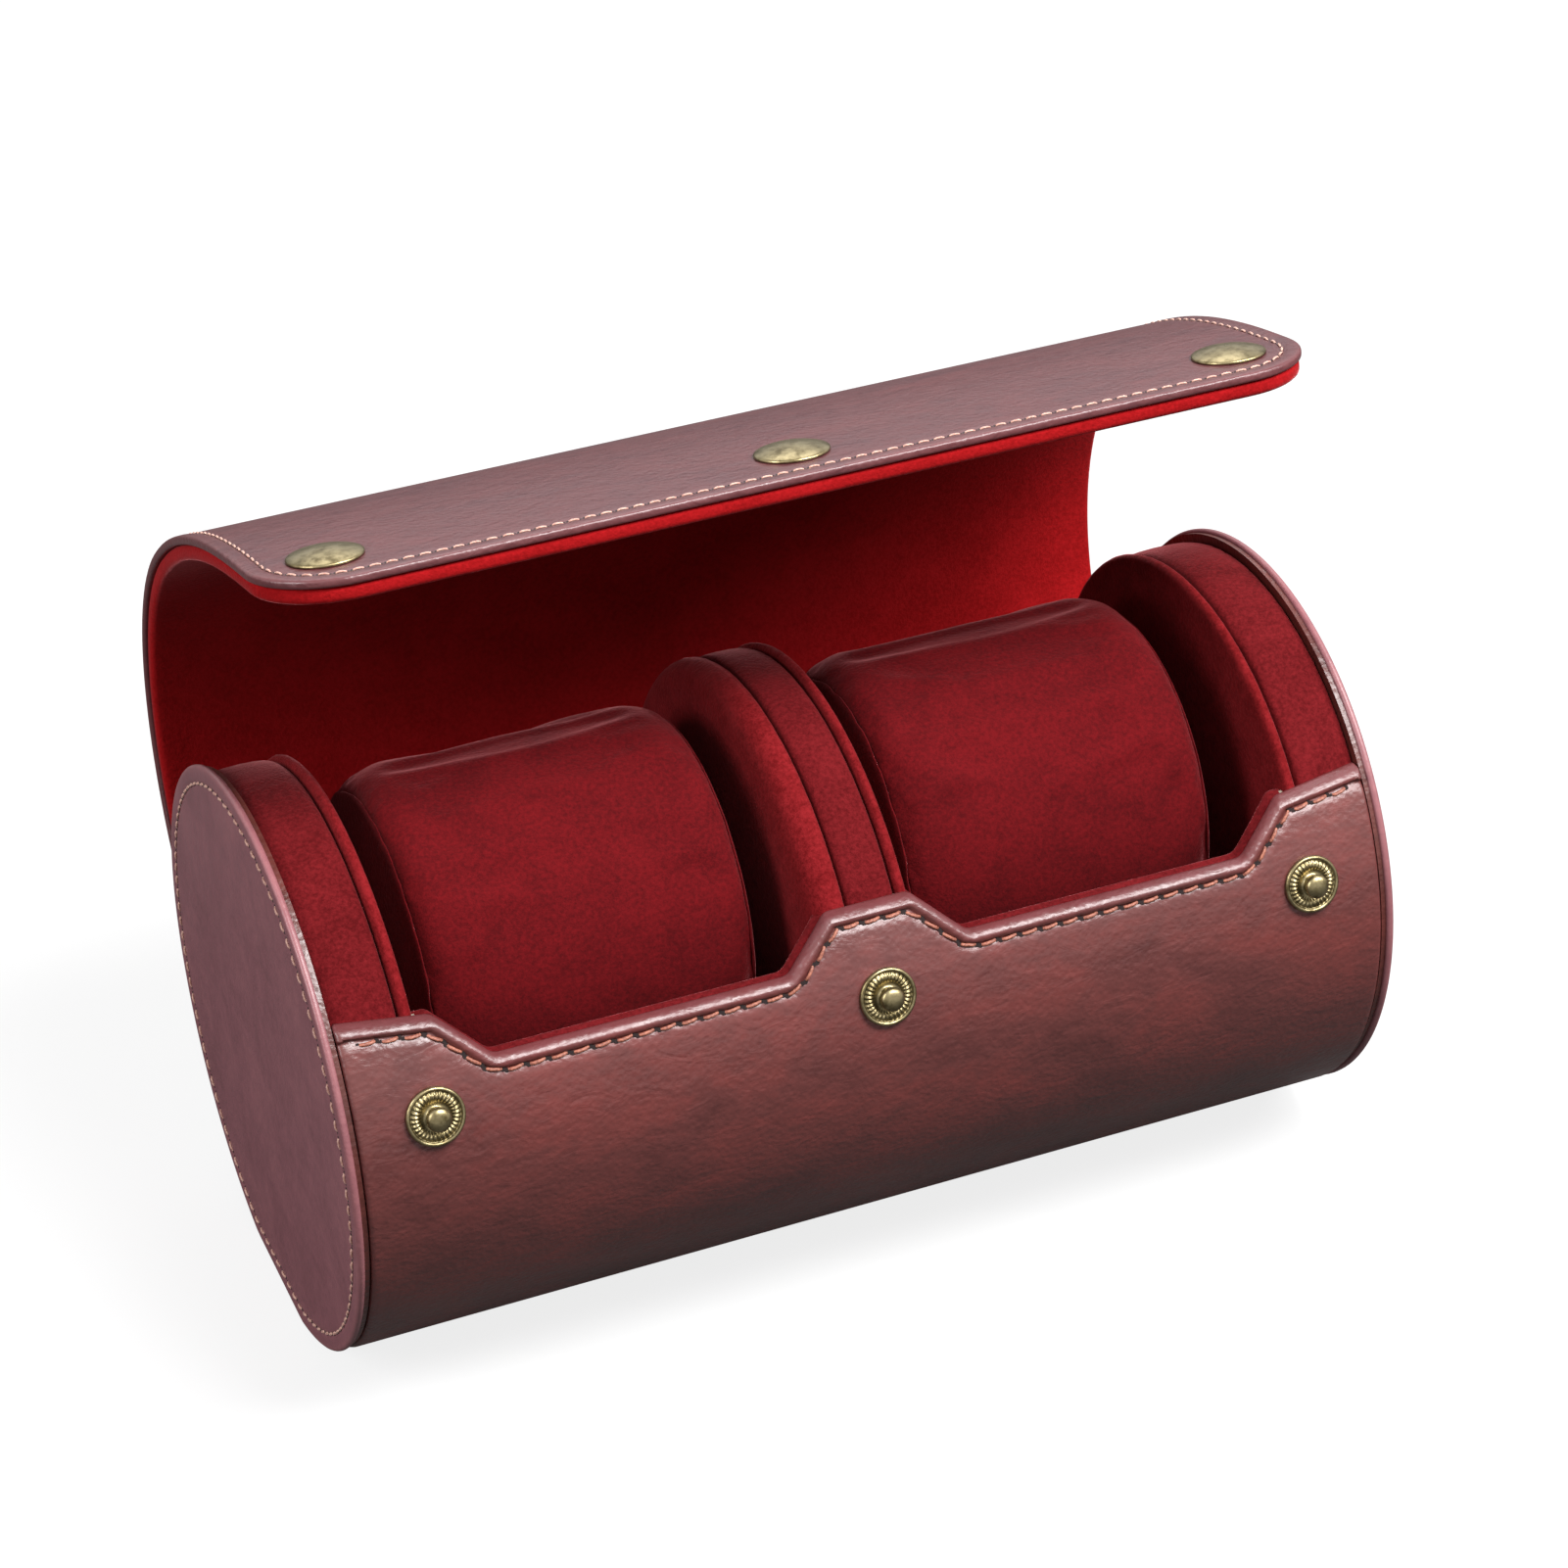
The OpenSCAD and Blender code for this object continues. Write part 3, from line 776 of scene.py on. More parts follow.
def start_finish(name: str) -> tuple[bpy.types.Material, bpy.types.NodeTree, bpy.types.Node]:
    """A new material, its tree, and a Principled shader joined to its output."""
    made = bpy.data.materials.new(name)
    made.use_nodes = True
    tree = made.node_tree
    tree.nodes.clear()
    shader = add_node(tree, "ShaderNodeBsdfPrincipled")
    add_node(tree, "ShaderNodeOutputMaterial", Surface=shader.outputs["BSDF"])
    return made, tree, shader


def per_metre(size_mm: float) -> float:
    """Scale of a pattern whose features are that many millimetres."""
    return 1.0 / (size_mm * MM)


@dataclass(frozen=True)
class WaxedLeather:
    """Oil-waxed split leather: soft streaks, a fine pebbled grain, a waxy sheen, and lighter edges, partly
    rubbed and partly a painted highlight.
    """

    name: str
    dark: str
    middle: str
    warm: str
    worn_highlight: str
    patch_mm: float = 13.0
    grain_mm: float = 0.9
    roughness: float = 0.34
    grain_depth_mm: float = 0.2

    def material(self) -> bpy.types.Material:
        """Builds the material."""
        made, tree, shader = start_finish(self.name)
        where = add_node(tree, "ShaderNodeTexCoord").outputs["Object"]
        drawn = add_node(tree, "ShaderNodeMapping", {"Scale": (0.55, 1.0, 1.0)}, Vector=where).outputs[0]
        streaks = add_node(tree, "ShaderNodeTexNoise",
                           {"Scale": per_metre(self.patch_mm), "Detail": 7.0, "Roughness": 0.6,
                            "Distortion": 0.5}, Vector=drawn)
        smudge = add_node(tree, "ShaderNodeTexNoise",
                          {"Scale": per_metre(self.patch_mm / 6), "Detail": 6.0, "Roughness": 0.72},
                          Vector=drawn)
        both = add_node(tree, "ShaderNodeMix", {"data_type": "FLOAT", "Factor": 0.38},
                        i2=streaks.outputs["Fac"], i3=smudge.outputs["Fac"])
        colour = add_node(tree, "ShaderNodeValToRGB",
                          {"stops": [(0.32, self.dark), (0.48, self.middle), (0.66, self.warm)]},
                          Fac=both.outputs[0])
        # The edge colour mixed in near edges is partly rubbing and partly a painted highlight for the gloss
        # there.
        wear = add_node(tree, "ShaderNodeAttribute", {"attribute_name": "wear"})
        rubbed_and_highlit = add_node(tree, "ShaderNodeMath", {"operation": "MULTIPLY"}, i0=wear.outputs["Fac"],
                          i1=smudge.outputs["Fac"])
        rub_and_highlight = add_node(tree, "ShaderNodeMapRange", {"From Min": 0.1, "From Max": 0.75},
                       Value=rubbed_and_highlit.outputs[0])
        base = add_node(tree, "ShaderNodeMix", {"data_type": "RGBA"}, i0=rub_and_highlight.outputs[0],
                        i6=colour.outputs["Color"])
        base.inputs[7].default_value = linear(self.worn_highlight)
        tree.links.new(base.outputs[2], shader.inputs["Base Color"])
        gloss = add_node(tree, "ShaderNodeMapRange",
                         {"From Min": 0.3, "From Max": 0.7, "To Min": self.roughness - 0.06,
                          "To Max": self.roughness + 0.08},
                         Value=smudge.outputs["Fac"])
        tree.links.new(gloss.outputs[0], shader.inputs["Roughness"])
        pebbles = add_node(tree, "ShaderNodeTexVoronoi",
                           {"feature": "SMOOTH_F1", "Scale": per_metre(self.grain_mm), "Smoothness": 0.6,
                            "Randomness": 1.0}, Vector=where)
        creases = add_node(tree, "ShaderNodeTexNoise",
                           {"Scale": per_metre(self.grain_mm * 4), "Detail": 6.0, "Roughness": 0.6,
                            "Distortion": 1.0}, Vector=drawn)
        fine = add_node(tree, "ShaderNodeBump", {"Strength": 0.35, "Distance": self.grain_depth_mm * MM},
                        Height=pebbles.outputs["Distance"])
        broad = add_node(tree, "ShaderNodeBump",
                         {"Strength": 0.32, "Distance": self.grain_depth_mm * 3 * MM},
                         Height=creases.outputs["Fac"], Normal=fine.outputs["Normal"])
        tree.links.new(broad.outputs["Normal"], shader.inputs["Normal"])
        shader.inputs["Specular IOR Level"].default_value = 0.52
        return made


@dataclass(frozen=True)
class Microsuede:
    """Brushed polyester microsuede: matt, with lighter and darker strokes of nap and a soft bright edge."""

    name: str
    shade: str
    light: str
    nap_mm: float = 11.0
    # Real fibres are about 0.05 mm and too fine to show, so they are drawn as coarse as they need to show.
    fibre_mm: float = 0.7

    def material(self) -> bpy.types.Material:
        """Builds the material."""
        made, tree, shader = start_finish(self.name)
        where = add_node(tree, "ShaderNodeTexCoord").outputs["Object"]
        strokes = add_node(tree, "ShaderNodeTexNoise",
                           {"Scale": per_metre(self.nap_mm), "Detail": 3.0, "Roughness": 0.5,
                            "Distortion": 0.8}, Vector=where)
        fibres = add_node(tree, "ShaderNodeTexNoise",
                          {"Scale": per_metre(self.fibre_mm), "Detail": 3.0, "Roughness": 0.75},
                          Vector=where)
        both = add_node(tree, "ShaderNodeMix", {"data_type": "FLOAT", "Factor": 0.68},
                        i2=strokes.outputs["Fac"], i3=fibres.outputs["Fac"])
        colour = add_node(tree, "ShaderNodeValToRGB",
                          {"stops": [(0.38, self.shade), (0.62, self.light)]}, Fac=both.outputs[0])
        tree.links.new(colour.outputs["Color"], shader.inputs["Base Color"])
        bump = add_node(tree, "ShaderNodeBump", {"Strength": 0.7, "Distance": 0.2 * MM},
                        Height=fibres.outputs["Fac"])
        tree.links.new(bump.outputs["Normal"], shader.inputs["Normal"])
        shader.inputs["Roughness"].default_value = 0.92
        shader.inputs["Specular IOR Level"].default_value = 0.08
        shader.inputs["Sheen Weight"].default_value = 0.6
        shader.inputs["Sheen Roughness"].default_value = 0.28
        shader.inputs["Sheen Tint"].default_value = linear("#ee8e92")
        return made


@dataclass(frozen=True)
class AntiqueBrass:
    """Stamped brass with an antique bath finish: olive gold, darker in its patches, softly polished."""

    name: str = "antiqued_stamped_brass"
    polish: str = "#978a68"
    patina: str = "#5a4f34"

    def material(self) -> bpy.types.Material:
        """Builds the material."""
        made, tree, shader = start_finish(self.name)
        where = add_node(tree, "ShaderNodeTexCoord").outputs["Object"]
        stain = add_node(tree, "ShaderNodeTexNoise",
                         {"Scale": per_metre(2.2), "Detail": 5.0, "Roughness": 0.65}, Vector=where)
        colour = add_node(tree, "ShaderNodeValToRGB",
                          {"stops": [(0.34, self.patina), (0.58, self.polish)]}, Fac=stain.outputs["Fac"])
        tree.links.new(colour.outputs["Color"], shader.inputs["Base Color"])
        rough = add_node(tree, "ShaderNodeMapRange",
                         {"From Min": 0.3, "From Max": 0.7, "To Min": 0.42, "To Max": 0.26},
                         Value=stain.outputs["Fac"])
        tree.links.new(rough.outputs[0], shader.inputs["Roughness"])
        shader.inputs["Metallic"].default_value = 1.0
        return made


@dataclass(frozen=True)
class Plain:
    """A dyed thread, raw board, open foam, or the painted shade of a needle hole: one colour broken up by a
    fine grain.
    """

    name: str
    low: str
    high: str
    # Fibres of thread and board are finer than shows, so their grain is as coarse as it needs to show.
    grain_mm: float
    roughness: float = 0.8
    sheen: float = 0.0

    def material(self) -> bpy.types.Material:
        """Builds the material."""
        made, tree, shader = start_finish(self.name)
        where = add_node(tree, "ShaderNodeTexCoord").outputs["Object"]
        grain = add_node(tree, "ShaderNodeTexNoise", {"Scale": per_metre(self.grain_mm), "Detail": 3.0},
                         Vector=where)
        colour = add_node(tree, "ShaderNodeValToRGB",
                          {"stops": [(0.35, self.low), (0.65, self.high)]}, Fac=grain.outputs["Fac"])
        tree.links.new(colour.outputs["Color"], shader.inputs["Base Color"])
        bump = add_node(tree, "ShaderNodeBump", {"Strength": 0.4, "Distance": 0.1 * MM},
                        Height=grain.outputs["Fac"])
        tree.links.new(bump.outputs["Normal"], shader.inputs["Normal"])
        shader.inputs["Roughness"].default_value = self.roughness
        shader.inputs["Sheen Weight"].default_value = self.sheen
        return made


class Finishes:
    """Every finish of the roll, made once."""

    def __init__(self) -> None:
        """Builds the materials."""
        # Each leather's fourth colour is its edge colour: partly rubbing, partly a painted highlight.
        self.body_leather = WaxedLeather("waxed_grain_leather", "#482423", "#5a2d2b", "#6c312e",
                                         "#603236").material()
        self.lid_leather = WaxedLeather("waxed_grain_leather_lid", "#46242a", "#50272b", "#582a2d",
                                        "#623436").material()
        self.cap_leather = WaxedLeather("smooth_waxed_leather", "#6e4147", "#7a4a51", "#865359", "#8c585b",
                                        grain_mm=0.6, roughness=0.4, grain_depth_mm=0.06).material()
        self.edge_leather = WaxedLeather("folded_leather_edge", "#3c1c19", "#50241f", "#602b25",
                                         "#66362f").material()
        self.suede = Microsuede("brushed_microsuede", "#460609", "#641317").material()
        self.welt = Microsuede("rolled_microsuede_welt", "#56080b", "#76171b", nap_mm=5.0).material()
        # Painted light: the same microsuede, made brighter for the lid's lining, which faces down into
        # shade.
        self.lid_suede_painted_light = Microsuede("microsuede_lining_painted_lighter", "#80080b", "#9a1115").material()
        # Painted shade: the same microsuede, made darker for the pillows, whose tops catch the key light.
        self.pillow_suede_painted_shade = Microsuede("microsuede_cover_painted_darker", "#44060a", "#5e0b10").material()
        self.brass = AntiqueBrass().material()
        self.board = Plain("grey_bookbinding_board", "#7d7468", "#958b7d", 0.8, 0.9).material()
        self.foam = Plain("open_cell_foam", "#cfc7b0", "#e4dece", 0.9, 0.95).material()
        self.saddle_thread = Plain("waxed_saddle_thread", "#6a3527", "#a0614c", 0.35, 0.55, 0.05).material()
        self.pale_thread = Plain("pale_polyester_thread", "#a47466", "#cfa494", 0.35, 0.5, 0.2).material()
        # Painted shade: the near-black colour of the discs that stand for the needle holes.
        self.hole_shade = Plain("painted_needle_hole_shade", "#120606", "#1c0a08", 0.4, 0.95).material()


# ---- Sub-assemblies ----


@dataclass
class Tub:
    """The outer leather of the tub with its stepped front edge and saddle stitching."""

    finishes: Finishes
    form: TubForm = field(default_factory=TubForm)
    low: float = 23.9
    tab: float = 30.6
    end_rise: float = 1.6
    mid_half: float = 7.2
    slope: float = 8.2
    end_tab: float = 15.4
    rounding: float = 2.5
    edge: float = 0.75
    seam_end: float = 2.8
    front_from: float = 120.0
    over_end: float = 8.0
    sewing: Sewing = Sewing(inset=2.2, pitch=3.6, length=2.9, thread_r=0.27, level=-0.24, slant=7.0,
                            hole=1.7)

    @property
    def inner(self) -> float:
        """Where the end tabs begin, across."""
        return SIZES.panel_half - self.end_tab

    def height(self, z: float) -> float:
        """Length along the pattern to a height over the axis at the front."""
        return self.form.along(math.degrees(math.asin(z / SIZES.outer_r)))

    def outline(self) -> Outline:
        """The pattern: a plain edge at the hinge, straight ends, and the stepped front."""
        half, r = SIZES.panel_half, self.rounding
        end, low, tab = self.height(self.tab + self.end_rise), self.height(self.low), self.height(self.tab)
        right = [Corner(half, end, 0.5), Corner(self.inner, tab, r),
                 Corner(self.inner - self.slope, low, r),
                 Corner(self.mid_half + self.slope, low, r), Corner(self.mid_half, tab, r)]
        left = [Corner(-c.across, c.along, c.rounding) for c in reversed(right)]
        return Outline((Corner(-half, 0.0, 0.4), Corner(half, 0.0, 0.4), *right, *left))

    def slits(self, relief: Relief) -> list[tuple[tuple[float, float], tuple[float, float], float]]:
        """Cuts that carry the seam's lines on to both ends of the panel.

        Args:
            relief: The relief along the front edge.

        Returns:
            For each cut a point, a normal, and how far out it begins.
        """
        low, high = self.height(self.tab), self.height(self.tab + self.end_rise)
        way = unit(np.array([self.end_tab, high - low]))
        limit = SIZES.panel_half - self.sewing.inset - 2.4
        out = []
        for reach, _ in relief.steps[1:]:
            for side in Side:
                normal = np.array([-way[1] * side.value, way[0]])
                point = np.array([side.value * self.inner, low]) - normal * reach
                out.append((tuple(point), tuple(normal), limit))
        return out

    def front_edge(self, outline: Outline) -> np.ndarray:
        """The front edge as a line that runs on past both ends."""
        edge = further(outline.loop(0), self.front_from)
        on = np.array([self.over_end, self.over_end * self.end_rise / self.end_tab])
        return np.vstack([edge[:1] + on, edge, edge[-1:] + on * (-1, 1)])

    def seam(self, outline: Outline) -> np.ndarray:
        """The path of the saddle stitches, which stops short of both ends."""
        corner = outline.steps + 1
        front = further(outline.loop(self.sewing.inset), self.front_from)[corner:-corner]
        run_out = self.end_tab - self.seam_end
        across, along = self.inner + run_out, self.height(self.tab) - self.sewing.inset
        along += self.end_rise * run_out / self.end_tab
        return np.vstack([[across, along], front, [-across, along]])

    def dress(self) -> None:
        """Builds the leather and its stitches, on the body."""
        outline = self.outline()
        cuts = [*np.arange(2.5, 150, 2.5), *np.arange(150, 186, 2.0)]
        relief = Relief.seam(self.front_edge(outline), self.sewing.inset, sink=0.4, puff=0.4)
        panel = Panel(outline, self.form, SIZES.leather, edge=self.edge, relief=relief, cuts=cuts,
                      slits=self.slits(relief))
        fitted("tub_leather", panel.facets().mesh("tub_leather"), [self.finishes.body_leather],
               "grained_leather", "body", "body_leather")
        run = StitchRun(self.seam(outline), self.form, self.sewing)
        fitted("front_saddle_stitches", run.facets().mesh("stitches"),
               [self.finishes.saddle_thread, self.finishes.hole_shade], "grained_leather", "body")


@dataclass
class EndCap:
    """An end cap: a stitched leather disc with a rounded rim."""

    side: Side
    finishes: Finishes
    thickness: float = 1.3
    sewing: Sewing = Sewing(inset=3.0, pitch=2.9, length=2.0, thread_r=0.26, level=-0.14)

    def dress(self) -> None:
        """Builds the disc and its stitches, on the body."""
        form, word, outline = EndForm(self.side), self.side.word, DiscOutline(SIZES.outer_r)
        edge = outline.loop(0)
        relief = Relief.seam(np.vstack([edge, edge[:1]]), self.sewing.inset, sink=0.16, puff=0.0)
        panel = Panel(outline, form, self.thickness, relief=relief)
        fitted(f"{word}_cap_disc", panel.facets().mesh("disc"), [self.finishes.cap_leather], "cap_leather",
               "body", f"{word}_cap_leather")
        run = StitchRun(outline.loop(self.sewing.inset), form, self.sewing, closed=True)
        fitted(f"{word}_cap_stitches", run.facets().mesh("stitches"),
               [self.finishes.pale_thread, self.finishes.hole_shade], "cap_leather", "body")


@dataclass
class Roll:
    """A suede-covered piece of a drum or the divider, turned about the tube's axis."""

    name: str
    node: str
    profile: Sequence[tuple[float, float]]
    side: Side = Side.RIGHT
    gathers: float = 0.05
    around: int = 300

    def gathered(self, k: int, a: np.ndarray) -> tuple[np.ndarray, np.ndarray]:
        """Small gathers of the suede, strongest at both edges of the piece."""
        share = abs(2 * k / (len(self.profile) - 1) - 1)**3
        wave = (np.sin(61 * a + 2 * np.sin(5 * a)) + 0.7 * np.sin(97 * a + 3 * np.sin(2 * a + 1))
                + 0.5 * np.sin(23 * a))
        return np.zeros(len(a)), self.gathers * (0.25 + 0.75 * share) * wave

    def dress(self, material: bpy.types.Material, slot: str) -> None:
        """Builds the piece on the body, in place of its node."""
        s = float(self.side.value)
        spindle = Spindle((0, 0, SIZES.axis_z), (s, 0, 0), (0, 1, 0))
        facets = spindle.turned(self.profile, self.around, self.gathered)
        facets.points[:, 2] = np.maximum(facets.points[:, 2], SIZES.outer_r - SIZES.drum_r)
        fitted(self.name, facets.mesh(self.name), [material], slot, "body", self.node)


@dataclass
class Linings:
    """The end drums, the divider between the places, and the lining of both places."""

    finishes: Finishes
    band: tuple[tuple[float, float], ...] = (
        (87.9, 45.9), (87.6, 46.35), (86.8, 46.65), (85.2, 46.8), (82.4, 46.9), (79.9, 46.8),
        (78.6, 46.65), (77.8, 46.4), (77.3, 45.9), (77.05, 45.2), (77.0, 44.4))
    rolled_edge: tuple[tuple[float, float], ...] = (
        (77.0, 44.4), (76.9, 45.5), (76.7, 46.25), (76.35, 46.75), (75.85, 46.98), (75.35, 46.8),
        (75.0, 46.35), (74.82, 45.7), (74.75, 44.6), (74.7, 42.0), (74.6, 34.0), (74.6, 20.0),
        (74.6, 8.0), (74.6, 0.0))
    divider_band: tuple[tuple[float, float], ...] = (
        (5.4, 44.8), (5.25, 45.7), (4.85, 46.3), (4.1, 46.6), (2.4, 46.78), (1.0, 46.82), (-0.6, 46.8),
        (-1.8, 46.65), (-2.5, 46.35), (-2.85, 45.8), (-3.0, 44.9))
    broad_roll: tuple[tuple[float, float], ...] = (
        (3.0, 44.9), (3.1, 45.8), (3.4, 46.45), (4.0, 46.9), (4.8, 47.0), (5.7, 46.85), (6.6, 46.45),
        (7.4, 45.8), (8.0, 44.9), (8.4, 43.6), (8.65, 41.6), (8.75, 37.0), (8.7, 28.0), (8.7, 10.0),
        (8.7, 0.0))
    thin_welt: tuple[tuple[float, float], ...] = (
        (5.4, 44.6), (5.5, 45.7), (5.7, 46.4), (6.05, 46.85), (6.5, 47.0), (6.95, 46.8), (7.25, 46.3),
        (7.4, 45.6), (7.55, 44.4), (7.95, 42.4), (8.4, 38.5), (8.65, 32.0), (8.7, 22.0), (8.7, 0.0))
    drop: float = 1.0
    first: float = 1.7
    under_divider: float = 2.5
    inner_face: float = 4.25
    outer_face: float = 3.45
    wrapped_face: float = 1.45

    def place_lining(self, side: Side) -> None:
        """Builds the lining of one place. Its front is wrapped over the board, up to the leather."""
        tub, s, first = Tub(self.finishes), side.value, self.first
        low, tab = tub.height(tub.low - self.drop), tub.height(tub.tab - self.drop)
        near, far, inner = SIZES.divider_half - self.under_divider, SIZES.cheek_x, tub.inner
        corners = [Corner(s * near, first, 0.3), Corner(s * far, first, 0.3), Corner(s * far, tab, 0.3),
                   Corner(s * inner, tab, 2.0), Corner(s * (inner - tub.slope), low, 2.5),
                   Corner(s * (tub.mid_half + tub.slope), low, 2.5), Corner(s * tub.mid_half, tab, 0.6),
                   Corner(s * near, tab, 0.3)]
        outline = Outline(tuple(corners if s > 0 else corners[::-1]))
        outer = np.where(outline.loop(0)[:, 1] > tub.front_from, self.wrapped_face, self.outer_face)
        panel = Panel(outline, tub.form, self.inner_face - outer, top=-outer, edge=0.35,
                      cuts=np.arange(4, 178, 2.5))
        name = f"{side.word}_place_lining"
        fitted(name, panel.facets().mesh(name), [self.finishes.suede],
               "suede", "body", f"{side.word}_lining")

    def dress(self) -> None:
        """Builds all the suede of the tub, on the body."""
        suede, welt = self.finishes.suede, self.finishes.welt
        for side in Side:
            word = side.word
            Roll(f"{word}_drum_cover", f"{word}_drum", self.band, side).dress(suede, "suede")
            Roll(f"{word}_drum_cheek", f"{word}_cheek", self.rolled_edge, side).dress(welt, "suede_welt")
            self.place_lining(side)
        Roll("divider_cover", "divider_band", self.divider_band).dress(suede, "suede")
        Roll("divider_broad_roll", "divider_left_cheek", self.broad_roll, Side.LEFT).dress(
            welt, "suede_welt")
        Roll("divider_thin_welt", "divider_right_cheek", self.thin_welt, Side.RIGHT).dress(
            welt, "suede_welt")


@dataclass
class Snaps:
    """The snap fasteners: fluted studs on the front, domed caps on the flap."""

    finishes: Finishes
    flutes: int = 32
    flute_depth: float = 0.13
    stud: tuple[tuple[float, float], ...] = (
        (-0.1, 4.7), (0.3, 4.8), (0.6, 4.72), (0.78, 4.5), (0.74, 4.24), (0.5, 4.08), (0.36, 3.98),
        (0.42, 3.88), (0.66, 3.66), (0.78, 3.3), (0.74, 2.95), (0.52, 2.66), (0.34, 2.5), (0.3, 2.0),
        (0.36, 1.66), (0.6, 1.52), (1.3, 1.5), (1.5, 1.7), (1.75, 1.92), (2.1, 2.0), (2.5, 1.94),
        (2.8, 1.7), (3.05, 1.25), (3.17, 0.7), (3.2, 0.0))
    cap: tuple[tuple[float, float], ...] = (
        (-0.6, 0.0), (-0.6, 2.2), (-1.6, 2.2), (-1.6, 2.8), (-0.1, 2.8), (-0.1, 5.6), (0.02, 5.92),
        (0.2, 6.0), (0.4, 5.96), (0.54, 5.8), (0.66, 5.5), (0.86, 4.9), (1.1, 4.0), (1.33, 2.9),
        (1.5, 1.7), (1.58, 0.8), (1.6, 0.0))
    snap_at: float = 10.0

    def fluted(self, k: int, a: np.ndarray) -> tuple[np.ndarray, np.ndarray]:
        """The pressed flutes, on the ring between the rim and the dished middle."""
        r = self.stud[k][1]
        depth = self.flute_depth if 3.8 > r > 2.8 else 0.05 if 4.0 > r > 2.6 else 0.0
        return depth * np.cos(self.flutes * a), np.zeros(len(a))

    def dress(self) -> None:
        """Builds the studs on the body and the caps on the flap."""
        turn, lid = math.radians(SIZES.stud_angle), LidForm()
        out = (0.0, -math.cos(turn), math.sin(turn))
        at = lid.ends[4] + self.snap_at
        _, way = lid.inner(np.array([at]))
        studs, caps = [], []
        for x in SIZES.snaps:
            origin = (x, out[1] * SIZES.outer_r, out[2] * SIZES.outer_r + SIZES.axis_z)
            studs.append(Spindle(origin, out).turned(self.stud, self.flutes * 7, self.fluted))
            top = lid.place(np.array([[x, at, 0.0]]))[0]
            caps.append(Spindle(tuple(top), (0.0, way[0, 0], way[0, 1])).turned(self.cap, 96))
        brass = [self.finishes.brass]
        fitted("fluted_studs", joined(studs).mesh("studs"), brass, "antique_brass", "body", "snap_studs")
        fitted("domed_caps", joined(caps).mesh("caps"), brass, "antique_brass", "lid_flap", "snap_caps")


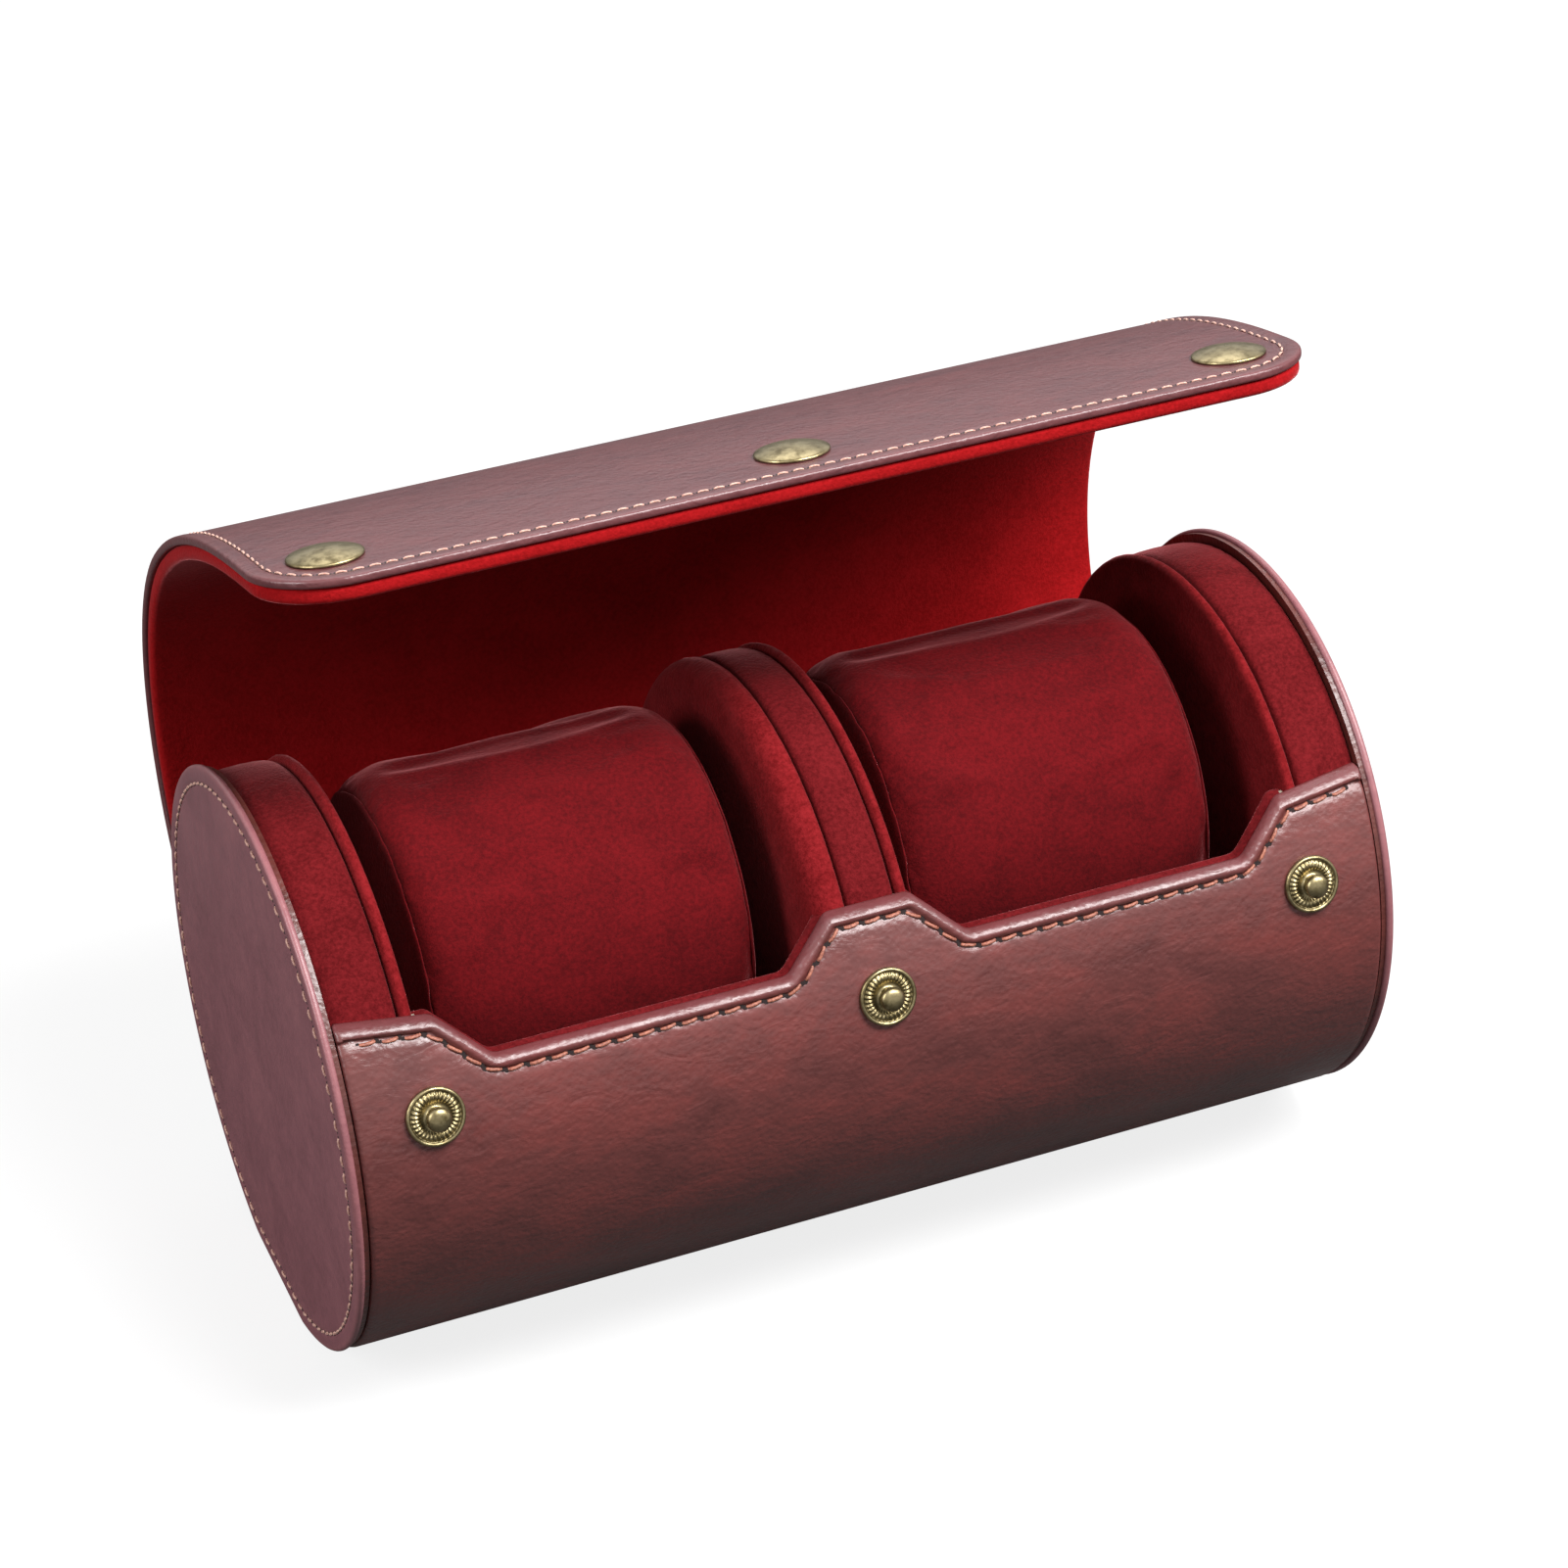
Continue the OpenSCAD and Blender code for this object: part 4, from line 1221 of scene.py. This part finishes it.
@dataclass
class Lid:
    """The wrap-round lid: one leather and one suede panel, each cut at the middles of the stretches."""

    finishes: Finishes
    form: LidForm = field(default_factory=LidForm)
    half: float = 87.4
    corner: float = 14.0
    leather: float = 1.4
    suede_inset: float = 0.5
    sides_from: float = 20.0
    seam_from: float = 7.0
    sewing: Sewing = Sewing(inset=3.0, pitch=2.6, length=1.9, thread_r=0.2)
    bodies: tuple[str, ...] = ("body", "lid_back", "lid_brow", "lid_crown", "lid_front", "lid_flap")
    reach: float = 7.0
    hinge_reach: float = 4.0
    shank_hole: float = 2.85
    socket_recess: float = 5.5

    @property
    def seams(self) -> list[float]:
        """Where the panels are cut: the middle of each stretch, with both ends."""
        e = self.form.ends
        return [e[0] - 1, *[(e[k] + e[k + 1]) / 2 for k in range(4)], e[5] + 5]

    def cuts(self, inset: float) -> list[float]:
        """Lines across the panel: close over the curved back and at the bends, and at the seams."""
        lines = {*np.arange(1.0, 10.0, 1.0), *np.arange(10.0, 78.0, 2.5),
                 *np.arange(78.0, self.form.ends[5], 2.0)}
        lines |= set(self.seams[1:5])
        return sorted(v for v in lines if 0.2 < v < self.form.ends[5] - inset - 0.3)

    def snap_holes(self, r: float) -> list[tuple[float, float, float]]:
        """Places of the snaps in the flap, with a radius."""
        return [(x, self.form.ends[4] + Snaps.snap_at, r) for x in SIZES.snaps]

    def outline(self, inset: float) -> Outline:
        """The pattern, set in by a distance at its free edges."""
        half, tip, r = self.half - inset, self.form.ends[5] - inset, self.corner - inset
        return Outline((Corner(-half, 0, 0.3), Corner(half, 0, 0.3), Corner(half, tip, r),
                        Corner(-half, tip, r)), steps=14)

    def mount(self, facets: Facets, name: str, materials: Sequence[bpy.types.Material],
              nodes: Sequence[str] = ()) -> None:
        """Cuts the facets at the seams into one piece for each stretch, and hides the CAD nodes they stand
        for.

        Args:
            facets: The whole panel or row of stitches.
            name: Start of the pieces' names.
            materials: Their finishes.
            nodes: CAD nodes that the pieces stand for, one each.
        """
        normals = facets.normals()
        middle = np.array([facets.flat[f, 1].mean() for f in facets.faces])
        for k in range(5):
            keep = np.nonzero((middle >= self.seams[k]) & (middle < self.seams[k + 1]))[0]
            if not len(keep):
                continue
            part, own = facets.part(keep, normals)
            word = self.bodies[k + 1].replace("lid_", "")
            piece = shown(f"{name}_{word}", with_normals(part, name, own), materials)
            at, inner = self.form.ends[k], -self.form.thickness
            before, after = (self.reach, self.reach) if k else (0.0, self.hinge_reach)
            start, end = self.form.place(np.array([[0, at - before, inner], [0, at + after, inner]])) * MM
            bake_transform(piece)
            if nodes:
                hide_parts(nodes[k])

    def dress(self) -> None:
        """Builds the leather, its stitches, and the suede with its wrapped edge."""
        edge = further(self.outline(0).loop(0), self.sides_from)
        edge = np.vstack([[self.half, -self.sides_from], edge, [-self.half, -self.sides_from]])
        relief = Relief.seam(edge, self.sewing.inset, sink=0.2, puff=0.12)
        outer = Panel(self.outline(0), self.form, self.leather, edge=0.5, relief=relief, cuts=self.cuts(0),
                      bores=self.snap_holes(self.shank_hole), flip=True)
        self.mount(outer.facets(), "lid_skin", [self.finishes.lid_leather],
                   [f"{b}_leather" for b in self.bodies[1:]])
        inset = self.suede_inset
        inner = Panel(self.outline(inset), self.form, self.form.thickness - self.leather, top=-self.leather,
                      edge=0.85, cuts=self.cuts(inset),
                      bores=self.snap_holes(self.socket_recess), flip=True)
        # The lid's suede takes the microsuede painted brighter against the shade under the lid.
        self.mount(inner.facets(), "lid_suede_painted_light", [self.finishes.lid_suede_painted_light],
                   [f"{b}_lining" for b in self.bodies[1:]])
        path = further(self.outline(0).loop(self.sewing.inset), self.sides_from)
        side = self.half - self.sewing.inset
        path = np.vstack([[side, self.seam_from], path, [-side, self.seam_from]])
        run = StitchRun(path, self.form, self.sewing, flip=True)
        self.mount(run.facets(), "lid_stitches", [self.finishes.pale_thread, self.finishes.hole_shade])


@dataclass
class Pillow:
    """A lift-out pillow: suede over foam, with end panels sewn in by a seam."""

    side: Side
    middle: float
    finishes: Finishes
    length: float = 58.5
    r: float = 31.0
    height: float = 87.4
    draw_in: float = 2.4
    bulge: float = 2.6
    seat_gap: float = 0.3
    around: int = 120

    @property
    def seat(self) -> float:
        """Height of the pillow's underside."""
        return SIZES.outer_r - SIZES.tub_r + self.seat_gap

    def ring(self, x: float, r: float, straight: float) -> np.ndarray:
        """Points of an oval section at x."""
        a = (np.arange(self.around) + 0.5) * 2 * math.pi / self.around
        z = r * np.sin(a) + np.where(np.sin(a) >= 0, straight, -straight)
        return np.stack([np.full_like(a, x), r * np.cos(a), z], -1)

    def facets(self) -> tuple[Facets, list[int]]:
        """Builds the cover and its end panels as one closed skin.

        Returns:
            The skin, and the points that lie in its seams.
        """
        half, straight = self.length / 2 - self.bulge, self.height / 2 - self.r
        seam = self.r - self.draw_in - 1.1
        end = []
        for turn in (4, 14, 26, 38, 50, 62, 72, 80, 86):
            t = math.sin(math.radians(turn))
            end.append(self.ring(-half - 0.3 - (self.bulge - 0.3) * math.cos(math.radians(turn))**0.55,
                                 (seam + 0.75) * t, straight * t))
        end += [self.ring(-half - 0.8, seam + 0.72, straight),
                self.ring(-half - 0.35, seam + 0.35, straight)]
        cover = []
        for u in (-1.0, -0.985, -0.965, -0.93, -0.88, *np.linspace(-0.82, 0.82, 33), 0.88, 0.93, 0.965,
                  0.985, 1.0):
            r = self.r - self.draw_in * (0.35 * u * u + 0.65 * u**8)
            dip = 1.1 * math.exp(-((1 - abs(u)) * half / 0.75)**1.3)
            cover.append(self.ring(u * half, r - dip, straight))
        rings = end + cover + [r * np.array([-1, 1, 1]) for r in end[::-1]]
        n, points = self.around, np.vstack(rings)
        faces = [[(j + 1) * n + i, (j + 1) * n + (i + 1) % n, j * n + (i + 1) % n, j * n + i]
                 for j in range(len(rings) - 1) for i in range(n)]
        faces += [list(range(n)), list(range(len(points) - n, len(points)))[::-1]]
        held = [j * n + i for j in (len(end), len(end) + len(cover) - 1) for i in range(n)]
        held += [*range(n * 2), *(len(points) - 1 - i for i in range(n * 2))]
        points = points + np.array([self.middle, 0, self.seat + self.height / 2])
        return Facets(points, faces), held

    def dress(self) -> None:
        """Builds the pillow on its own body."""
        word = self.side.word
        facets, held = self.facets()
        facets.points = settled(facets, held, pressure=1.0, spare=0.012, most=0.8)
        facets.points[:, 2] = np.maximum(facets.points[:, 2], self.seat)
        # The cover takes the microsuede painted darker, as shade on the well-lit pillows.
        cushion = fitted(
            f"{word}_pillow_cushion", facets.mesh("cushion"), [self.finishes.pillow_suede_painted_shade], "suede",
            f"{word}_pillow", f"{word}_pillow_cover", f"{word}_pillow_ends", f"{word}_pillow_foam")
        smooth = cushion.modifiers.new("subdivision", "SUBSURF")
        smooth.levels = smooth.render_levels = 1


def dress_nodes(finishes: Finishes) -> None:
    """Gives each CAD node that stays in view the finish of its slot.

    Args:
        finishes: The roll's finishes.
    """
    by_slot = {"grained_leather": finishes.edge_leather, "cap_leather": finishes.edge_leather,
               "suede": finishes.suede, "suede_welt": finishes.welt, "foam": finishes.foam,
               "stiffening_board": finishes.board, "antique_brass": finishes.brass}
    slots = {p["node"]: p["material_slot"] for p in frame["record"]["subparts"]}
    for name, node in frame["nodes"].items():
        node.data.materials.clear()
        node.data.materials.append(by_slot[slots[name]])
    log.info("%d CAD nodes have their finish", len(frame["nodes"]))


# ---- Studio ----


@dataclass(frozen=True)
class SoftLight:
    """A square soft light that faces the roll."""

    name: str
    at: tuple[float, float, float]
    size: float
    watts: float
    aim: tuple[float, float, float] = (0.0, 0.0, 0.06)

    def build(self) -> None:
        """Adds the light."""
        data = bpy.data.lights.new(self.name, "AREA")
        data.shape, data.size, data.energy = "SQUARE", self.size, self.watts
        made = bpy.data.objects.new(self.name, data)
        made.location = self.at
        made.rotation_euler = (Vector(self.aim) - Vector(self.at)).to_track_quat("-Z", "Y").to_euler()
        bpy.context.scene.collection.objects.link(made)


@dataclass
class Studio:
    """The camera at the photograph's angle, plain soft lights, and a pale floor."""

    place: tuple[float, float, float] = (-0.23341, -0.55718, 0.51542)
    yaw: float = 22.843
    pitch: float = -36.016
    lens: float = 105.11
    floor_half: float = 3.0
    lights: tuple[SoftLight, ...] = (
        SoftLight("key_light", (0.3, -0.42, 1.08), 0.45, 21.0),
        SoftLight("left_light", (-0.95, -0.12, 0.65), 0.5, 8.0),
        SoftLight("right_light", (0.75, -0.4, 0.85), 0.4, 9.0),
        SoftLight("back_light", (0.2, 0.7, 0.8), 0.6, 3.0))

    def camera(self) -> None:
        """Makes the camera."""
        data = bpy.data.cameras.new("camera")
        data.sensor_fit, data.sensor_width, data.lens = "HORIZONTAL", 36.0, self.lens
        data.clip_start, data.clip_end = 0.02, 20.0
        made = bpy.data.objects.new("camera", data)
        made.location = self.place
        made.rotation_euler = Euler((math.radians(90 + self.pitch), 0, math.radians(-self.yaw)))
        bpy.context.scene.collection.objects.link(made)
        bpy.context.scene.camera = made

    def world(self) -> None:
        """A pale room that looks white to the camera and in reflections."""
        made = bpy.data.worlds.new("room")
        made.use_nodes = True
        tree = made.node_tree
        tree.nodes.clear()
        path = add_node(tree, "ShaderNodeLightPath")
        direct = add_node(tree, "ShaderNodeMath", {"operation": "MAXIMUM"},
                          i0=path.outputs["Is Camera Ray"], i1=path.outputs["Is Transmission Ray"])
        seen = add_node(tree, "ShaderNodeMath", {"operation": "MAXIMUM"}, i0=direct.outputs[0],
                        i1=path.outputs["Is Glossy Ray"])
        strength = add_node(tree, "ShaderNodeMapRange", {"To Min": 0.3, "To Max": 1.0},
                            Value=seen.outputs[0])
        glow = add_node(tree, "ShaderNodeBackground", {"Color": (1, 1, 1, 1)}, Strength=strength.outputs[0])
        add_node(tree, "ShaderNodeOutputWorld", Surface=glow.outputs[0])
        bpy.context.scene.world = made

    def floor(self) -> None:
        """A white table top that keeps a faint shadow and bounces little light."""
        made = bpy.data.materials.new("white_table_top")
        made.use_nodes = True
        tree = made.node_tree
        tree.nodes.clear()
        path = add_node(tree, "ShaderNodeLightPath")
        bounced = add_node(tree, "ShaderNodeMath", {"operation": "MAXIMUM"},
                           i0=path.outputs["Is Diffuse Ray"], i1=path.outputs["Is Glossy Ray"])
        direct = add_node(tree, "ShaderNodeMath", {"operation": "MAXIMUM"},
                          i0=path.outputs["Is Camera Ray"], i1=path.outputs["Is Transmission Ray"])
        tone = add_node(tree, "ShaderNodeMapRange", {"To Min": 0.8, "To Max": 0.07},
                        Value=bounced.outputs[0])
        matt = add_node(tree, "ShaderNodeBsdfDiffuse", Color=tone.outputs[0])
        glow = add_node(tree, "ShaderNodeEmission", {"Color": (1, 1, 1, 1), "Strength": 1.0})
        away = add_node(tree, "ShaderNodeVectorMath", {"operation": "LENGTH"},
                        i0=add_node(tree, "ShaderNodeTexCoord").outputs["Object"])
        paler = add_node(tree, "ShaderNodeMapRange",
                         {"From Min": 0.2, "From Max": 0.7, "To Min": 0.82, "To Max": 1.0},
                         Value=away.outputs["Value"])
        first = add_node(tree, "ShaderNodeMath", {"operation": "MULTIPLY"}, i0=direct.outputs[0],
                         i1=paler.outputs[0])
        second = add_node(tree, "ShaderNodeMapRange", {"To Min": 0.0, "To Max": 0.03},
                          Value=path.outputs["Is Glossy Ray"])
        share = add_node(tree, "ShaderNodeMath", {"operation": "MAXIMUM"}, i0=first.outputs[0],
                         i1=second.outputs[0])
        mixed = add_node(tree, "ShaderNodeMixShader", i0=share.outputs[0], i1=matt.outputs[0],
                         i2=glow.outputs[0])
        add_node(tree, "ShaderNodeOutputMaterial", Surface=mixed.outputs[0])
        mesh, far = bpy.data.meshes.new("floor"), self.floor_half
        mesh.from_pydata([(-far, -far, 0), (far, -far, 0), (far, far, 0), (-far, far, 0)], [],
                         [(0, 1, 2, 3)])
        mesh.materials.append(made)
        top = bpy.data.objects.new("floor", mesh)
        bpy.context.scene.collection.objects.link(top)

    def build(self) -> None:
        """Builds the whole studio."""
        bpy.context.scene.view_settings.view_transform = "Standard"
        self.camera()
        self.world()
        self.floor()
        for light in self.lights:
            light.build()


def main() -> None:
    """Builds the studio and dresses the roll, sub-assembly by sub-assembly."""
    logging.basicConfig(level=logging.INFO, format="%(name)s: %(message)s")
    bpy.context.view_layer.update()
    Studio().build()
    finishes = Finishes()
    dress_nodes(finishes)
    Tub(finishes).dress()
    log.info("tub leather and its stitches are on")
    for side in Side:
        EndCap(side, finishes).dress()
    log.info("end caps are on")
    Linings(finishes).dress()
    log.info("drums, divider and linings are covered")
    Lid(finishes).dress()
    log.info("lid is on")
    Snaps(finishes).dress()
    log.info("snaps are set")
    for side, middle in zip(Side, SIZES.pillow_middles):
        Pillow(side, middle, finishes).dress()
    log.info("pillows are in")


if __name__ == "__main__":
    main()
